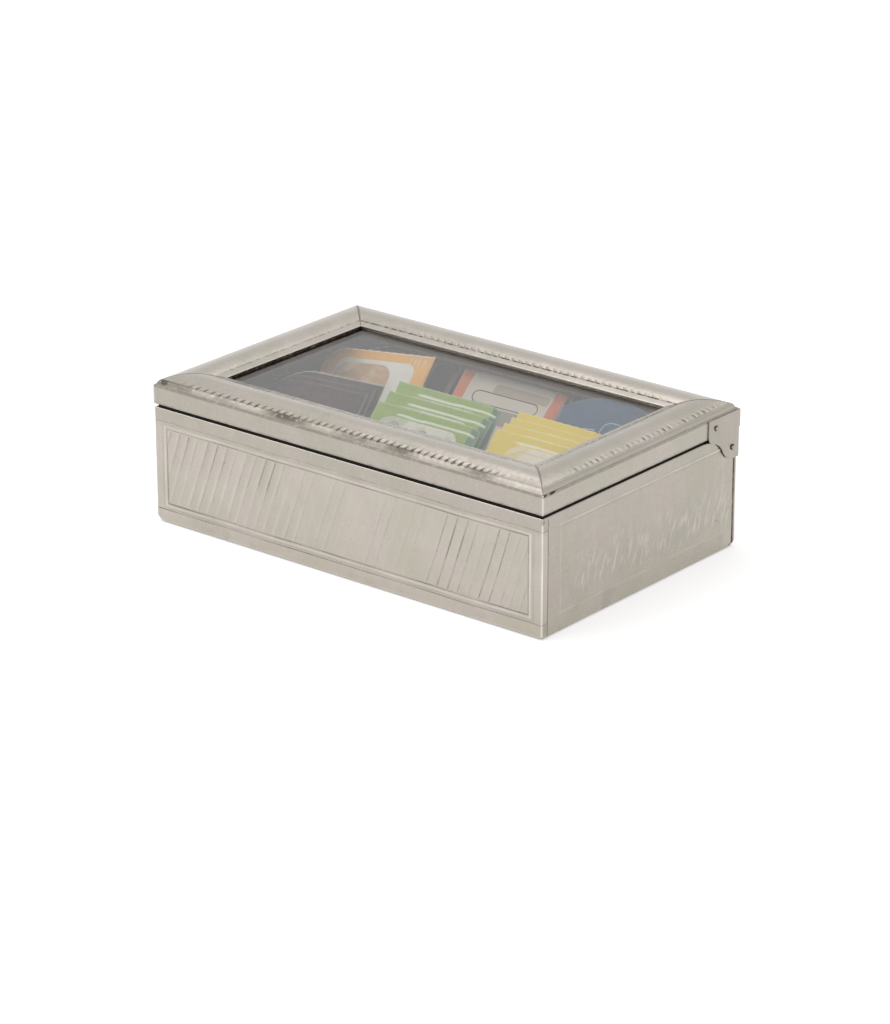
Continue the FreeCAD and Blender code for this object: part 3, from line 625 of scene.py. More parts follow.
class Print:
    """Builds one paper's printed shapes over its print map, whose units are millimetres."""

    def __init__(self, name, ground):
        _, self.tree, self.shader = new_material(name)
        place = add(self.tree, "ShaderNodeUVMap", uv_map="print").outputs[0]
        self.map = scaled(self.tree, place, PRINT_SCALE)
        self.ink = ground

    def shape(self, x, y, half_width, half_height, radius, line=0.5):
        """A rounded panel's masks on this paper."""
        return place_group(
            self.tree, "Rounded Panel", Map=self.map, Middle_X=x, Middle_Y=y, Half_Width=half_width,
            Half_Height=half_height, Radius=radius, Line=line).outputs

    def panel(self, ink, x, y, half_width, half_height, radius, share=1.0):
        """A filled rounded panel; returns its mask."""
        mask = self.shape(x, y, half_width, half_height, radius)["Fill"]
        self.lay(ink, mask, share)
        return mask

    def outline(self, ink, x, y, half_width, half_height, radius, line, share=1.0):
        """The outline of a rounded panel."""
        self.lay(ink, self.shape(x, y, half_width, half_height, radius, line)["Outline"], share)

    def lay(self, ink, mask, share=1.0):
        """Prints a colour where a mask is."""
        amount = mask if share == 1.0 else times(self.tree, mask, share)
        self.ink = blend_colour(self.tree, amount, self.ink, ink)

    def wash(self, ink, mask, scale, low, high, share):
        """A soft watercolour cloud inside a mask."""
        patch = spread(self.tree, cloud(self.tree, self.map, scale, 3.0, 0.5, warp=0.8), low, high)
        self.lay(ink, times(self.tree, patch, mask), share)

    def finish(self):
        """Adds the paper's fibre, the painted highlights on its edges and seam, and the wrinkles' bump."""
        tree = self.tree
        base = place_group(tree, "Matted Fibres", Place=object_place(tree), Scale=700.0, Contrast=0.12)
        feed(tree, base.inputs["Base"], self.ink)
        highlight_share = times(tree, sheet_mark(tree, "polish_and_highlight"), 0.9)
        ink = blend_colour(tree, highlight_share, base.outputs["Color"], (0.9, 0.9, 0.86))
        crumple = cloud(tree, object_place(tree), 190.0, 3.0, 0.55, warp=0.5)
        height = plus(tree, crumple, times(tree, base.outputs["Height"], 0.12))
        feed(tree, self.shader.inputs["Base Color"], ink)
        self.shader.inputs["Roughness"].default_value = 0.65
        self.shader.inputs["Specular IOR Level"].default_value = 0.12
        feed(tree, self.shader.inputs["Normal"], bump(tree, height, 0.35, 0.0012))


def paper_materials():
    """One printed paper for each colour of sachet, with plain shapes of its own."""
    papers = bpy.context.scene.tea_box_papers

    paper = Print("paper_plum_print", tuple(papers.plum))
    paper.panel((0.035, 0.025, 0.024), 28.2, 40.0, 4.2, 60.0, 0.2)
    paper.outline((0.42, 0.36, 0.32), 4.0, 17.5, 9.0, 3.0, 3.0, 0.45)
    paper.panel((0.42, 0.36, 0.32), -13.0, 17.5, 5.0, 0.25, 0.2)
    paper.panel((0.42, 0.36, 0.32), 18.0, 17.5, 2.4, 0.25, 0.2)
    paper.finish()

    paper = Print("paper_green_print", tuple(papers.green))
    paper.panel((0.05, 0.16, 0.10), 30.0, 40.0, 3.0, 60.0, 0.2, 0.85)
    panel = paper.panel((0.66, 0.64, 0.56), -2.0, 28.0, 24.5, 22.0, 7.0)
    paper.wash((0.42, 0.46, 0.30), panel, 0.07, 0.46, 0.6, 0.8)
    for place, low in ((-17.0, 15.0), (-8.0, 17.0), (1.5, 16.0)):
        paper.panel((0.34, 0.33, 0.29), place, low, 3.6, 6.5, 3.6, 0.8)
        paper.outline((0.17, 0.17, 0.15), place, low, 3.6, 6.5, 3.6, 0.5, 0.7)
    paper.finish()

    paper = Print("paper_yellow_print", tuple(papers.yellow))
    panel = paper.panel((0.80, 0.72, 0.60), 1.0, 26.0, 23.0, 20.5, 9.0)
    paper.wash((0.74, 0.60, 0.16), panel, 0.08, 0.5, 0.62, 0.7)
    paper.outline((0.50, 0.46, 0.34), 1.0, 26.0, 20.0, 17.5, 7.0, 0.5, 0.6)
    paper.finish()

    paper = Print("paper_orange_print", tuple(papers.orange))
    panel = paper.panel((0.72, 0.69, 0.64), 0.0, 30.0, 24.0, 24.5, 6.0)
    inner = paper.panel((0.50, 0.27, 0.10), -6.0, 30.0, 17.0, 22.0, 8.0, 0.85)
    paper.wash((0.70, 0.52, 0.30), inner, 0.09, 0.46, 0.62, 0.8)
    paper.wash((0.66, 0.62, 0.52), panel, 0.06, 0.5, 0.64, 0.6)
    for place in (19.0, 21.5, 24.0, 27.5):
        paper.panel((0.66, 0.60, 0.50), place, 4.2, 0.35, 2.2, 0.2, 0.8)
    paper.finish()

    paper = Print("paper_brown_print", tuple(papers.brown))
    paper.panel((0.03, 0.02, 0.018), 24.0, 40.0, 6.0, 60.0, 0.2)
    paper.finish()

    paper = Print("paper_white_print", tuple(papers.white))
    for place in (-28.9, 28.9):
        paper.panel((0.62, 0.17, 0.08), place, 40.0, 3.6, 60.0, 0.2)
    paper.panel((0.42, 0.33, 0.25), 7.0, 6.4, 17.0, 2.6, 1.5, 0.9)
    paper.panel((0.26, 0.23, 0.20), -2.0, 21.5, 21.0, 4.2, 0.8, 0.85)
    paper.outline((0.07, 0.065, 0.06), 0.0, 12.8, 20.0, 3.4, 3.4, 0.6)
    paper.finish()

    paper = Print("paper_blue_print", tuple(papers.blue))
    paper.outline((0.50, 0.54, 0.55), 10.0, 17.0, 15.0, 5.5, 5.5, 0.4)
    paper.panel((0.50, 0.54, 0.55), -16.0, 17.0, 8.0, 0.22, 0.2)
    paper.panel((0.34, 0.40, 0.45), -3.0, 26.5, 22.0, 0.3, 0.2)
    paper.panel((0.34, 0.40, 0.45), -3.0, 28.5, 16.0, 0.3, 0.2)
    paper.finish()


# The pressed sheets of the box

# The front's raised frame: its lower and upper edge, its reach from the middle and its width
PANEL_LOW = 7.0
PANEL_HIGH = 53.0
PANEL_EDGE = SIDE_X - 4.3
BAND = 3.5

# The raised frame of an end: its lower and upper edge, then its front and back edge
END_LOW = 8.6
END_HIGH = 54.0
END_FRONT = -63.0
END_BACK = 65.5

# How far the front and the back sheet lap round the corners
FRONT_LAP = 4.6
BACK_LAP = 2.0

# Half width of a crease, and what keeps a sheet's points inside its solid
CREASE = 0.42
HAIR = 0.02

# Reach and rise of the rounding at the bottom corners, small at the front right one
KNOCK = (4.4, 2.9)
SMALL_KNOCK = (1.5, 1.1)

# Insets and heights of the folded rim, with a low rounded lip outside the rim felt
RIM_ROWS = (
    (0.0, -0.2), (0.04, 0.12), (0.16, 0.36), (0.36, 0.5), (0.65, 0.52), (0.95, 0.36),
    (1.2, 0.0), (3.0, 0.0), (6.0, 0.0))


class PressedFront:
    """Relief, wear, painted shade and painted highlights of the front sheet, by place along it and height."""

    def __init__(self):
        shape = bpy.context.scene.tea_box_shape
        self.pitch = shape.flute_pitch / MM
        self.slope = math.tan(shape.flute_lean)
        self.dent = shape.dent_depth / MM

    def __call__(self, x, z):
        """Lift, patina with painted shade, and polish with painted highlights, at a place."""
        lift = self.dent * (grain(x, z, 1, 24.0) * 1.4 + grain(x, z, 2, 9.0) * 0.6)
        patina_and_shade = 0.0
        polish_and_highlight = 0.0
        wobble = grain(x, 0.0, 3, 31.0) * 0.25
        for height, depth, dark in ((PANEL_HIGH, 0.1, 0.62), (PANEL_LOW, 0.12, 0.8)):
            mark = line_mark(z - height - wobble, CREASE)
            lift -= depth * mark
            patina_and_shade = max(patina_and_shade, mark * dark * (0.72 + 0.5 * grain(x, height, 4, 17.0)))
        inside = min(PANEL_EDGE - abs(x), z - PANEL_LOW - wobble, PANEL_HIGH + wobble - z)
        if inside > 0.0:
            upright = PANEL_EDGE - abs(x) < min(z - PANEL_LOW, PANEL_HIGH - z)
            if inside < BAND:
                share = inside / BAND
                lift += RELIEF * math.sin(math.pi * share) ** 0.7
                # A painted highlight along the frame's ridge, stronger on the uprights and most on the right
                # one.
                ridge_highlight = 0.2 + 0.25 * grain(x, z, 5, 12.0)
                if upright:
                    ridge_highlight += 0.4 if x > 0.0 else 0.15
                polish_and_highlight = max(polish_and_highlight, line_mark(inside - 2.3, 0.9) * ridge_highlight)
            for place, dark in ((0.12, 0.55 if upright else 0.35), (1.3, 0.3), (BAND, 0.8)):
                mark = line_mark(inside - place, CREASE)
                dark *= 0.75 + 0.6 * grain(x + z, place, 6, 14.0)
                patina_and_shade = max(patina_and_shade, mark * dark)
            if inside > BAND:
                flute_lift, flute_dark, flute_highlight = self.flutes(x, z, inside - BAND)
                lift += flute_lift
                patina_and_shade = max(patina_and_shade, flute_dark)
                polish_and_highlight = max(polish_and_highlight, flute_highlight)
        corner = soft_step(abs(x), PANEL_EDGE + 2.6, SIDE_X)
        # The corner edges are lighter: worn polish and a painted highlight.
        edge_wear_and_highlight = 0.8 + 0.4 * grain(0.0, z, 8, 15.0)
        polish_and_highlight = max(polish_and_highlight, 0.9 * line_mark(abs(x) - LAP_X + 0.15, 0.75) * edge_wear_and_highlight)
        polish_and_highlight = max(polish_and_highlight, soft_step(FOOT_Z + 1.2 - z, 0.0, 1.0) * 0.2)
        # Painted shade darkens the top band above the frame.
        patina_and_shade = max(patina_and_shade, 0.13 * soft_step(z, PANEL_HIGH - 3.0, PANEL_HIGH + 1.0))
        if x > 0.0:
            tip = math.hypot(x - LAP_X - 0.2, (z - RIM_Z + 1.0) * 0.55)
            patina_and_shade = max(patina_and_shade, 0.95 * groove(tip, 1.5))
        smear = max(0.0, grain(x, z, 10, 6.0) - 0.25) * 0.28
        patina_and_shade = max(patina_and_shade, smear * soft_step(12.0 - z, 0.0, 8.0) * (0.6 + corner))
        return lift, patina_and_shade, polish_and_highlight

    def flutes(self, x, z, inside):
        """Slanted scallops with a fine dark line at each one's steep side, painted shade over each scallop,
        more in the upper left, and a painted highlight on each ridge.
        """
        along = (x - (z - PANEL_LOW) * self.slope) / self.pitch + 0.3 * grain(x, z * 0.4, 11, 30.0)
        index = math.floor(along)
        share = along - index
        chance = noise.cell(Vector((index * 1.7, 3.0, 5.0)))
        level = (z - PANEL_LOW - BAND) / (PANEL_HIGH - PANEL_LOW - 2 * BAND)
        left = soft_step(-x, 5.0, 60.0)
        right = soft_step(x, 35.0, 85.0)
        strength = 0.2 + left * (0.2 + 0.4 * soft_step(level, 0.25, 0.75)) + right * 0.08
        strength *= 0.7 + 0.6 * chance
        fade = soft_step(inside, 0.0, 1.6)
        scallop = (1.0 - share) ** 1.3 * soft_step(share, 0.0, 0.1)
        lift = 0.27 * scallop * strength * fade
        score = line_mark(min(share, 1.0 - share) * self.pitch, 0.62)
        window = 0.45 + 0.55 * soft_step(grain(index * 5.0, z, 12, 14.0), -0.3, 0.3)
        upper = soft_step(level, 0.42, 0.66)
        dark = left * (0.12 + 0.5 * upper * (0.5 + chance)) + right * (0.34 + 0.6 * chance) + 0.34 * chance
        dark = min(dark * window, 0.9)
        # Painted shade: each scallop darker towards its steep side, more in the upper left.
        shade = 0.14 * (1.0 - share) ** 2 * left * (0.25 + 0.75 * upper) * (0.4 + 0.9 * chance)
        # Painted highlight along each scallop's ridge.
        ridge = line_mark((share - 0.8) * self.pitch, 1.6)
        shine = 0.2 * ridge * (0.2 + 0.8 * left * (1.0 - 0.6 * upper)) * window
        return lift, max(score * dark, shade) * fade, shine * fade


class PressedEnd:
    """Relief, wear, painted shade and painted highlights of an end sheet, by place towards the back and
    height, with a painted shadow round the hinge plate.
    """

    def __init__(self, sign, edges):
        self.sign = sign
        self.edges = edges
        self.dent = bpy.context.scene.tea_box_shape.dent_depth / MM

    def __call__(self, y, z):
        """Lift, patina with painted shade, and polish with painted highlights, at a place."""
        seed = 20 + self.sign
        # Painted shade: the right end darker above its foot, the left one a little all over.
        tone = 0.11 * soft_step(z, 6.0, 22.0) if self.sign > 0 else 0.05
        lift = self.dent * (grain(y, z, seed, 22.0) * 1.6 + grain(y, z, seed + 1, 8.0) * 0.7)
        patina_and_shade = 0.0
        polish_and_highlight = 0.0
        wobble = grain(y, 0.0, seed + 2, 28.0) * 0.3
        across = min(y - END_FRONT, END_BACK - y) + 0.8
        upward = min(z - END_LOW, END_HIGH - z) + 0.6
        sides = (
            (END_HIGH + wobble - z, across, 0.75), (z - END_LOW - wobble, across, 0.45),
            (y - END_FRONT, upward, 0.45), (END_BACK - y, upward, 0.45))
        for place, reach, faint in sides:
            if reach < 0.0:
                continue
            bead = dome(place - 0.9, 1.0) * soft_step(reach, 0.0, 2.5)
            lift += RELIEF * 0.85 * bead * faint
            # A painted highlight along each raised line, with a painted shadow line beside it.
            ridge_highlight = 0.7 + 0.6 * grain(y, z, seed + 3, 10.0)
            polish_and_highlight = max(polish_and_highlight, line_mark(place - 0.8, 0.55) * faint * 0.55 * ridge_highlight)
            patina_and_shade = max(patina_and_shade, line_mark(place - 2.0, 0.5) * faint * 0.28)
        lean = (y - z * 0.3) / 5.6
        streak = abs(lean - math.floor(lean) - 0.5) * 2.0
        middle = soft_step(z, 10.0, 20.0) * soft_step(52.0 - z, 0.0, 14.0) * soft_step(y + 58.0, 0.0, 14.0)
        lift += 0.07 * streak * middle * (0.6 + 0.6 * grain(y, z, seed + 4, 18.0))
        shine = soft_step(grain((y - z * 0.3) * 1.6, z * 0.4, seed + 5, 3.0), -0.05, 0.55)
        strength = (0.3 if self.sign > 0 else 0.2) * soft_step(42.0 - z, 0.0, 22.0)
        polish_and_highlight = max(polish_and_highlight, shine * middle * strength)
        smear = max(0.0, grain(y, z, seed + 6, 7.0) - 0.25) * 0.25
        patina_and_shade = max(patina_and_shade, smear * soft_step(20.0 - z, 0.0, 14.0))
        if y < 0.0:
            seam = 0.6 * line_mark(y + FACE_Y - FRONT_LAP + 0.15, 0.35)
        else:
            seam = groove(y - FACE_Y + BACK_LAP + 0.3, 0.6)
        patina_and_shade = max(patina_and_shade, seam, tone)
        # Painted shadow round the hinge plate.
        if z > PLATE_FOOT:
            patina_and_shade = max(patina_and_shade, 0.75 * near_edges(self.edges, y, z))
        return lift, patina_and_shade, polish_and_highlight


class PressedBack:
    """Relief and wear of the plain back sheet."""

    def __call__(self, x, z):
        """Lift, patina and polish at a place."""
        lift = 0.12 * grain(x, z, 31, 26.0)
        mark = line_mark(z - PANEL_LOW, CREASE)
        patina_and_shade = mark * 0.6 * (0.7 + 0.5 * grain(x, 0.0, 32, 17.0))
        smear = max(0.0, grain(x, z, 33, 8.0) - 0.25) * 0.3
        polish_and_highlight = 0.5 * line_mark(abs(x) - LAP_X + 0.15, 0.75)
        polish_and_highlight = max(polish_and_highlight, soft_step(z, RIM_Z - 1.4, RIM_Z - 0.3) * 0.3)
        return lift - 0.1 * mark, max(patina_and_shade, smear * soft_step(16.0 - z, 0.0, 10.0)), polish_and_highlight


def knocked(away, reach, rise):
    """Height of a sheet's lower edge near a bottom corner that is knocked round."""
    share = min(max((reach - away) / reach, 0.0), 1.0)
    return FOOT_Z + rise * share ** 1.5


def cladding_rows(step, lines, lip=1.0):
    """Inset, height and part of a wall sheet's rows, up its face and over the rim to its inner edge."""
    face = with_lines(steps(FOOT_Z + 0.35, RIM_Z - 1.0, step), lines, CREASE * 0.5)
    rows = [(0.42, FOOT_Z, "foot"), (0.12, FOOT_Z + 0.04, "foot"), (0.0, FOOT_Z + 0.18, "foot")]
    rows += [(0.0, height, "face") for height in face]
    rows += [(inset, RIM_Z + (rise * lip if rise > 0.0 else rise), "rim") for inset, rise in RIM_ROWS]
    rows += [(RIM_RETURN - 0.15, RIM_Z, "rim")]
    rows += [(RIM_RETURN, RIM_Z - drop, "rim") for drop in (0.15, 0.48)]
    rows += [(0.5, RIM_Z - 0.5, "back"), (0.5, FOOT_Z + 0.02, "back")]
    return rows


def make_long_sheet(name, sign, material, relief, lap, step):
    """The front (sign -1) or back (sign 1) sheet, with its laps round both corners."""
    radius = 0.6
    turn = [math.radians(angle) for angle in (12, 30, 48, 66, 82)]
    side = LAP_X - HAIR
    straight = with_lines(steps(-side + radius, side - radius, step), (-PANEL_EDGE, PANEL_EDGE), 0.3)
    columns = [("lap", -1, reach) for reach in steps(lap, radius, 0.5)]
    columns += [("turn", -1, angle) for angle in reversed(turn)]
    columns += [("front", 0, x) for x in straight]
    columns += [("turn", 1, angle) for angle in turn]
    columns += [("lap", 1, reach) for reach in steps(radius, lap, 0.5)]
    lines = (PANEL_LOW, PANEL_LOW + BAND, PANEL_HIGH - BAND, PANEL_HIGH)
    rows = cladding_rows(step, lines, lip=1.0 if sign < 0 else 0.0)

    def place(column, row):
        """Point and wear at a column and a row."""
        kind, end, value = column
        inset, height, part = row
        if kind == "front":
            reach = side - inset
            x = min(max(value, -reach), reach) if part == "rim" else value
            base = Vector((x, -FACE_Y, height))
            normal = Vector((0.0, -1.0, 0.0))
            along = value
        elif kind == "turn":
            normal = Vector((math.sin(value) * end, -math.cos(value), 0.0))
            base = Vector(((side - radius) * end, -FACE_Y + radius, height)) + normal * radius
            along = (side - radius + radius * math.sin(value)) * end
        else:
            normal = Vector((end, 0.0, 0.0))
            base = Vector((side * end, -FACE_Y + value, height))
            along = (side + value) * end
        lift, patina_and_shade, polish_and_highlight = (0.0, 0.0, 0.0)
        if part == "face":
            lift, patina_and_shade, polish_and_highlight = relief(along, height)
            if kind == "lap" and value > lap - 0.6:
                patina_and_shade = max(patina_and_shade, 0.5)
        elif part == "rim":
            # Painted shade on the rim under the lid.
            patina_and_shade = 0.12
            if kind == "front":
                mitre = line_mark(side - inset - abs(value), 0.5)
                patina_and_shade = max(patina_and_shade, 0.75 * mitre * soft_step(inset, 0.3, 1.2))
        if part != "rim":
            corner = max(0.0, LAP_X - abs(base.x)) + max(0.0, FACE_Y + base.y)
            base.z = max(base.z, knocked(corner, *(SMALL_KNOCK if sign < 0 and along > 0.0 else KNOCK)))
        if kind == "front" or part != "rim":
            point = base + normal * (lift - inset)
        elif inset > 0.5:
            point = Vector(((side - 0.5) * end, 0.5 - FACE_Y, height - 0.5))
        else:
            point = base - normal * inset
        depth = max(point.y, -FACE_Y - RELIEF)
        return (point.x, depth * -sign, point.z), (patina_and_shade, polish_and_highlight)

    points, marks, faces = closed_sheet(columns, rows, place)
    node = name.removesuffix("_sheet")
    return new_piece(name, points, faces, "box", material, (node,), marks)


def make_end_sheet(name, sign, material, relief, step):
    """The left (sign -1) or right (sign 1) sheet, between the laps."""
    half = SIDE_HIGH.y - HAIR
    laps = (FRONT_LAP - 0.15 - FACE_Y, FACE_Y - BACK_LAP + 0.1)
    columns = with_lines(steps(-half, half, step), laps, 0.25)
    rows = cladding_rows(step, (END_LOW, END_HIGH))

    def place(column, row):
        """Point and wear at a column and a row."""
        inset, height, part = row
        y = column
        lift, patina_and_shade, polish_and_highlight = (0.0, 0.0, 0.0)
        if part == "rim":
            reach = min(half, FACE_Y - inset)
            y = min(max(column, -reach), reach)
            height = min(height, RIM_Z + 0.55 * soft_step(64.0 - y, 0.0, 4.0))
            # The rim gets painted shade under the lid, and darker mitre lines at its corners.
            patina_and_shade = max(0.12, 0.75 * line_mark(reach - abs(column), 0.5) * soft_step(inset, 0.5, 1.4))
        elif part == "face":
            lift, patina_and_shade, polish_and_highlight = relief(y, height)
            under_front = soft_step(-y, FACE_Y - FRONT_LAP - 0.6, FACE_Y - FRONT_LAP + 0.2)
            under_back = soft_step(y, FACE_Y - BACK_LAP - 0.6, FACE_Y - BACK_LAP + 0.1)
            lift *= 1.0 - max(under_front, under_back)
        if part != "rim":
            height = max(height, knocked(FACE_Y - abs(y), *(SMALL_KNOCK if sign > 0 and y < 0.0 else KNOCK)))
        return ((SIDE_X + lift - inset) * sign, y, height), (patina_and_shade, polish_and_highlight)

    points, marks, faces = closed_sheet(columns, rows, place)
    node = name.removesuffix("_sheet")
    return new_piece(name, points, faces, "box", material, (node,), marks)


# The lid's metal

# A moulding's section by inset: a cove, then a crown up to the bevel, then the bevel down to the lip
COVE_OUT, COVE_IN = 0.9, 2.75
COVE_FOOT, COVE_TOP = 70.6, 73.4
CROWN = 2.1
BEVEL_WIDTH = 4.1
BEVEL_TOP = 74.0


class Tarnish(NamedTuple):
    """Tarnish and painted shade of one moulding: seed, inner edge and painted shade of its cove, its three
    lines and its bevel.
    """

    seed: int
    cove: float
    shade: float
    lines: tuple
    bevel: float


TARNISH_AND_SHADE = {
    "front": Tarnish(40, 3.7, 0.84, (0.75, 0.85, 0.6), 1.0),
    "back": Tarnish(50, 3.1, 0.2, (0.1, 0.12, 0.1), 1.0),
    "left": Tarnish(60, 3.1, 0.25, (0.1, 0.12, 0.1), 0.5),
    "right": Tarnish(70, 3.1, 0.1, (0.15, 0.1, 0.55), 1.0),
}


class Moulding:
    """Section, wear, painted shade and painted highlights of one lid moulding; inset runs from the lid's
    outer face to the lip.
    """

    def __init__(self, side):
        self.side = side
        self.width = (LID_X - LIP_X) if side in ("left", "right") else (LID_Y - LIP_Y)
        self.bevel = self.width - BEVEL_WIDTH
        self.top = MOULD_HIGH.z
        self.pitch = bpy.context.scene.tea_box_shape.gadroon_pitch / MM

    def height(self, inset):
        """Height of the plain section."""
        if inset < COVE_IN:
            share = max(0.0, (inset - COVE_OUT) / (COVE_IN - COVE_OUT))
            return COVE_FOOT + (COVE_TOP - COVE_FOOT) * (1.0 - (1.0 - share) ** 1.7)
        if inset < self.bevel:
            share = (inset - COVE_IN) / (self.bevel - COVE_IN)
            rise = COVE_TOP + (BEVEL_TOP - COVE_TOP) * share
            return min(self.top, rise + CROWN * (1.0 - (2.0 * share - 1.0) ** 2))
        return BEVEL_TOP - (inset - self.bevel) / (self.width - self.bevel)

    def rows(self, step):
        """Insets and heights from the cove to the lip, down to the glass and back underneath."""
        glass = GLASS_HIGH.z + 0.03
        insets = with_lines(steps(COVE_OUT, self.width, step), (COVE_IN, self.bevel), 0.22)
        rows = [(inset, self.height(inset), "face") for inset in insets if inset <= self.width - 0.1]
        rows += [(self.width, 72.92, "face"), (self.width + 0.02, 72.65, "edge"), (self.width, glass, "edge")]
        rows += [(self.width - 0.45, glass, "back"), (self.width - 0.5, 72.3, "back")]
        rows += [(self.bevel, 73.3, "back"), (self.width / 2, self.top - 0.6, "back")]
        rows += [(3.0, 72.7, "back"), (1.3, 70.3, "back")]
        return rows

    def wear(self, along, inset, half):
        """Lift, patina with painted shade, and polish with painted highlights, at a place."""
        tarnish = TARNISH_AND_SHADE[self.side]
        seed = tarnish.seed
        lift = -0.05 - 0.05 * (1.0 + grain(along, inset, seed, 26.0))
        patina_and_shade = 0.0
        polish_and_highlight = 0.0
        # Painted shade in the cove, strongest on the front.
        cove = soft_step(inset, COVE_OUT, 1.2) * soft_step(tarnish.cove - inset, 0.0, 1.0)
        uneven = 0.75 + 0.6 * grain(along, 0.0, seed + 1, 19.0)
        patina_and_shade = max(patina_and_shade, cove * tarnish.shade * uneven)
        for place, strength in zip((1.15, 2.05, 2.95), tarnish.lines):
            patina_and_shade = max(patina_and_shade, line_mark(inset - place, 0.4) * strength * uneven)
        polish_and_highlight = max(polish_and_highlight, line_mark(inset - 1.6, 0.3) * 0.12)
        dash = 0.35 + 0.65 * soft_step(grain(along, 0.0, seed + 2, 2.6), -0.25, 0.2)
        patina_and_shade = max(patina_and_shade, groove(inset - self.bevel, 0.5) * tarnish.bevel * dash)
        if self.side == "front":
            # Painted shade in the gap at the front left corner.
            corner_gap_shade = soft_step(along, -118.5, -115.5) * soft_step(-103.0 - along, 0.0, 12.0)
            patina_and_shade = max(patina_and_shade, corner_gap_shade * soft_step(inset, COVE_OUT, 1.1) * soft_step(3.3 - inset, 0.0, 0.6))
        # Painted shade: the right moulding a little darker all over.
        if self.side == "right":
            patina_and_shade = max(patina_and_shade, 0.1)
        # A painted highlight along the lip's edge.
        polish_and_highlight = max(polish_and_highlight, line_mark(inset - self.width + 0.35, 0.5) * 0.2)
        mitre = half - abs(along)
        bend = 0.7 * math.sin(math.pi * min(max(inset / self.width, 0.0), 1.0))
        patina_and_shade = max(patina_and_shade, groove(mitre - bend * 0.4, 0.42) * 0.7 * soft_step(inset, 0.6, 2.0))
        if self.side == "front":
            extra = self.gadroons(along, inset)
        elif self.side == "back":
            extra = self.notches(along, inset)
        elif self.side == "right":
            extra = self.dots(along, inset)
        else:
            extra = (0.0, 0.0)
        return lift + extra[0], max(patina_and_shade, extra[1]), polish_and_highlight

    def gadroons(self, along, inset):
        """Comma marks near the outer edge: a swell with a painted shadow as a steep dark stroke and a tail
        along its foot.
        """
        if not 1.6 < inset < 6.4:
            return 0.0, 0.0
        spare = min(along + 10.0, 0.0)
        place = along / self.pitch + 0.00026 * spare * spare - 0.13 * (inset - 3.8)
        index = math.floor(place)
        share = place - index
        chance = noise.cell(Vector((index * 1.37, 9.0, 1.0)))
        strength = soft_step(along, -112.0, -92.0) * soft_step(103.0 - along, 0.0, 26.0)
        strength *= 0.75 + 0.35 * soft_step(along, -25.0, 20.0) + 0.3 * chance
        window = soft_step(inset, 2.3, 3.2) * soft_step(5.4 - inset, 0.0, 0.9)
        swell = soft_step(share, 0.0, 0.14) * (1.0 - share) ** 1.1
        lift = 0.26 * swell * window * strength
        near = min(share, 1.0 - share) * self.pitch
        taper = soft_step(inset, 2.1, 2.9) * soft_step(5.3 - inset, 0.0, 1.3)
        # Painted shadow on each swell's steep side and along its foot.
        dark = groove(near, 0.85) * taper
        tail = groove(inset - 2.75 - share * 0.5, 0.55) * soft_step(0.66 - share, 0.0, 0.35)
        dark = max(dark, tail * 0.8)
        fan = soft_step(along, 92.0, 104.0) * soft_step(inset, 3.0, 5.0)
        curl = abs((inset * 1.25 + along * 0.16) % 2.4 - 1.2)
        dark = max(dark * strength * 1.1, line_mark(curl, 0.28) * fan * 0.35)
        return lift, min(dark, 0.92)

    def notches(self, along, inset):
        """Small slanted notches beside the bevel, each darkened with painted shade."""
        pitch = 4.3
        place = along / pitch + 0.35 * (self.bevel - inset)
        share = place - math.floor(place)
        window = soft_step(inset, self.bevel - 2.2, self.bevel - 1.4)
        window *= soft_step(self.bevel + 0.3 - inset, 0.0, 0.4)
        ends = soft_step(along, -84.0, -50.0) * soft_step(100.0 - along, 0.0, 20.0)
        mark = groove(min(share, 1.0 - share) * pitch, 0.6) * window * ends
        return -0.12 * mark, mark * 0.7

    def dots(self, along, inset):
        """A row of small dents, each darkened as the painted shadow of a lobe's end."""
        pitch = 4.0
        index = math.floor(along / pitch)
        share = along / pitch - index - 0.5
        chance = noise.cell(Vector((index * 2.13, 4.0, 7.0)))
        away = math.hypot(share * pitch, (inset - 4.6) * 0.6)
        ends = soft_step(along, -62.0, -40.0) * soft_step(70.0 - along, 0.0, 12.0)
        mark = soft_step(0.95 - away, 0.0, 0.4) * ends * (0.65 + 0.35 * chance)
        return -0.12 * mark, mark * 0.85


def make_moulding(side, material, step):
    """One mitred moulding of the lid."""
    section = Moulding(side)
    ends = side in ("left", "right")
    long_half = LID_Y if ends else LID_X
    lip_half = LIP_Y if ends else LIP_X
    slope = (long_half - lip_half) / section.width
    sign = 1 if side in ("right", "back") else -1
    outer = LID_X if ends else LID_Y
    count = math.ceil(2 * long_half / step)
    columns = [2.0 * index / count - 1.0 for index in range(count + 1)]
    rows = section.rows(step)

    def place(column, row):
        """Point and wear at a column and a row."""
        inset, height, part = row
        half = long_half - inset * slope - 0.03
        along = column * half
        lift, patina_and_shade, polish_and_highlight = (0.0, 0.0, 0.0)
        if part == "face":
            lift, patina_and_shade, polish_and_highlight = section.wear(along, inset, half)
        elif part == "edge":
            # Painted shade on the lip's edge down to the glass.
            patina_and_shade = 0.45 if side == "back" else 0.96
        across = (outer - inset) * sign
        x, y = (across, along) if ends else (along, across)
        return (x, y, height + lift), (patina_and_shade, polish_and_highlight)

    points, marks, faces = closed_sheet(columns, rows, place)
    name = f"moulding_{side}"
    return new_piece(
        f"{name}_skin", points, faces, "lid", material, (name,), marks, sharp=60.0)


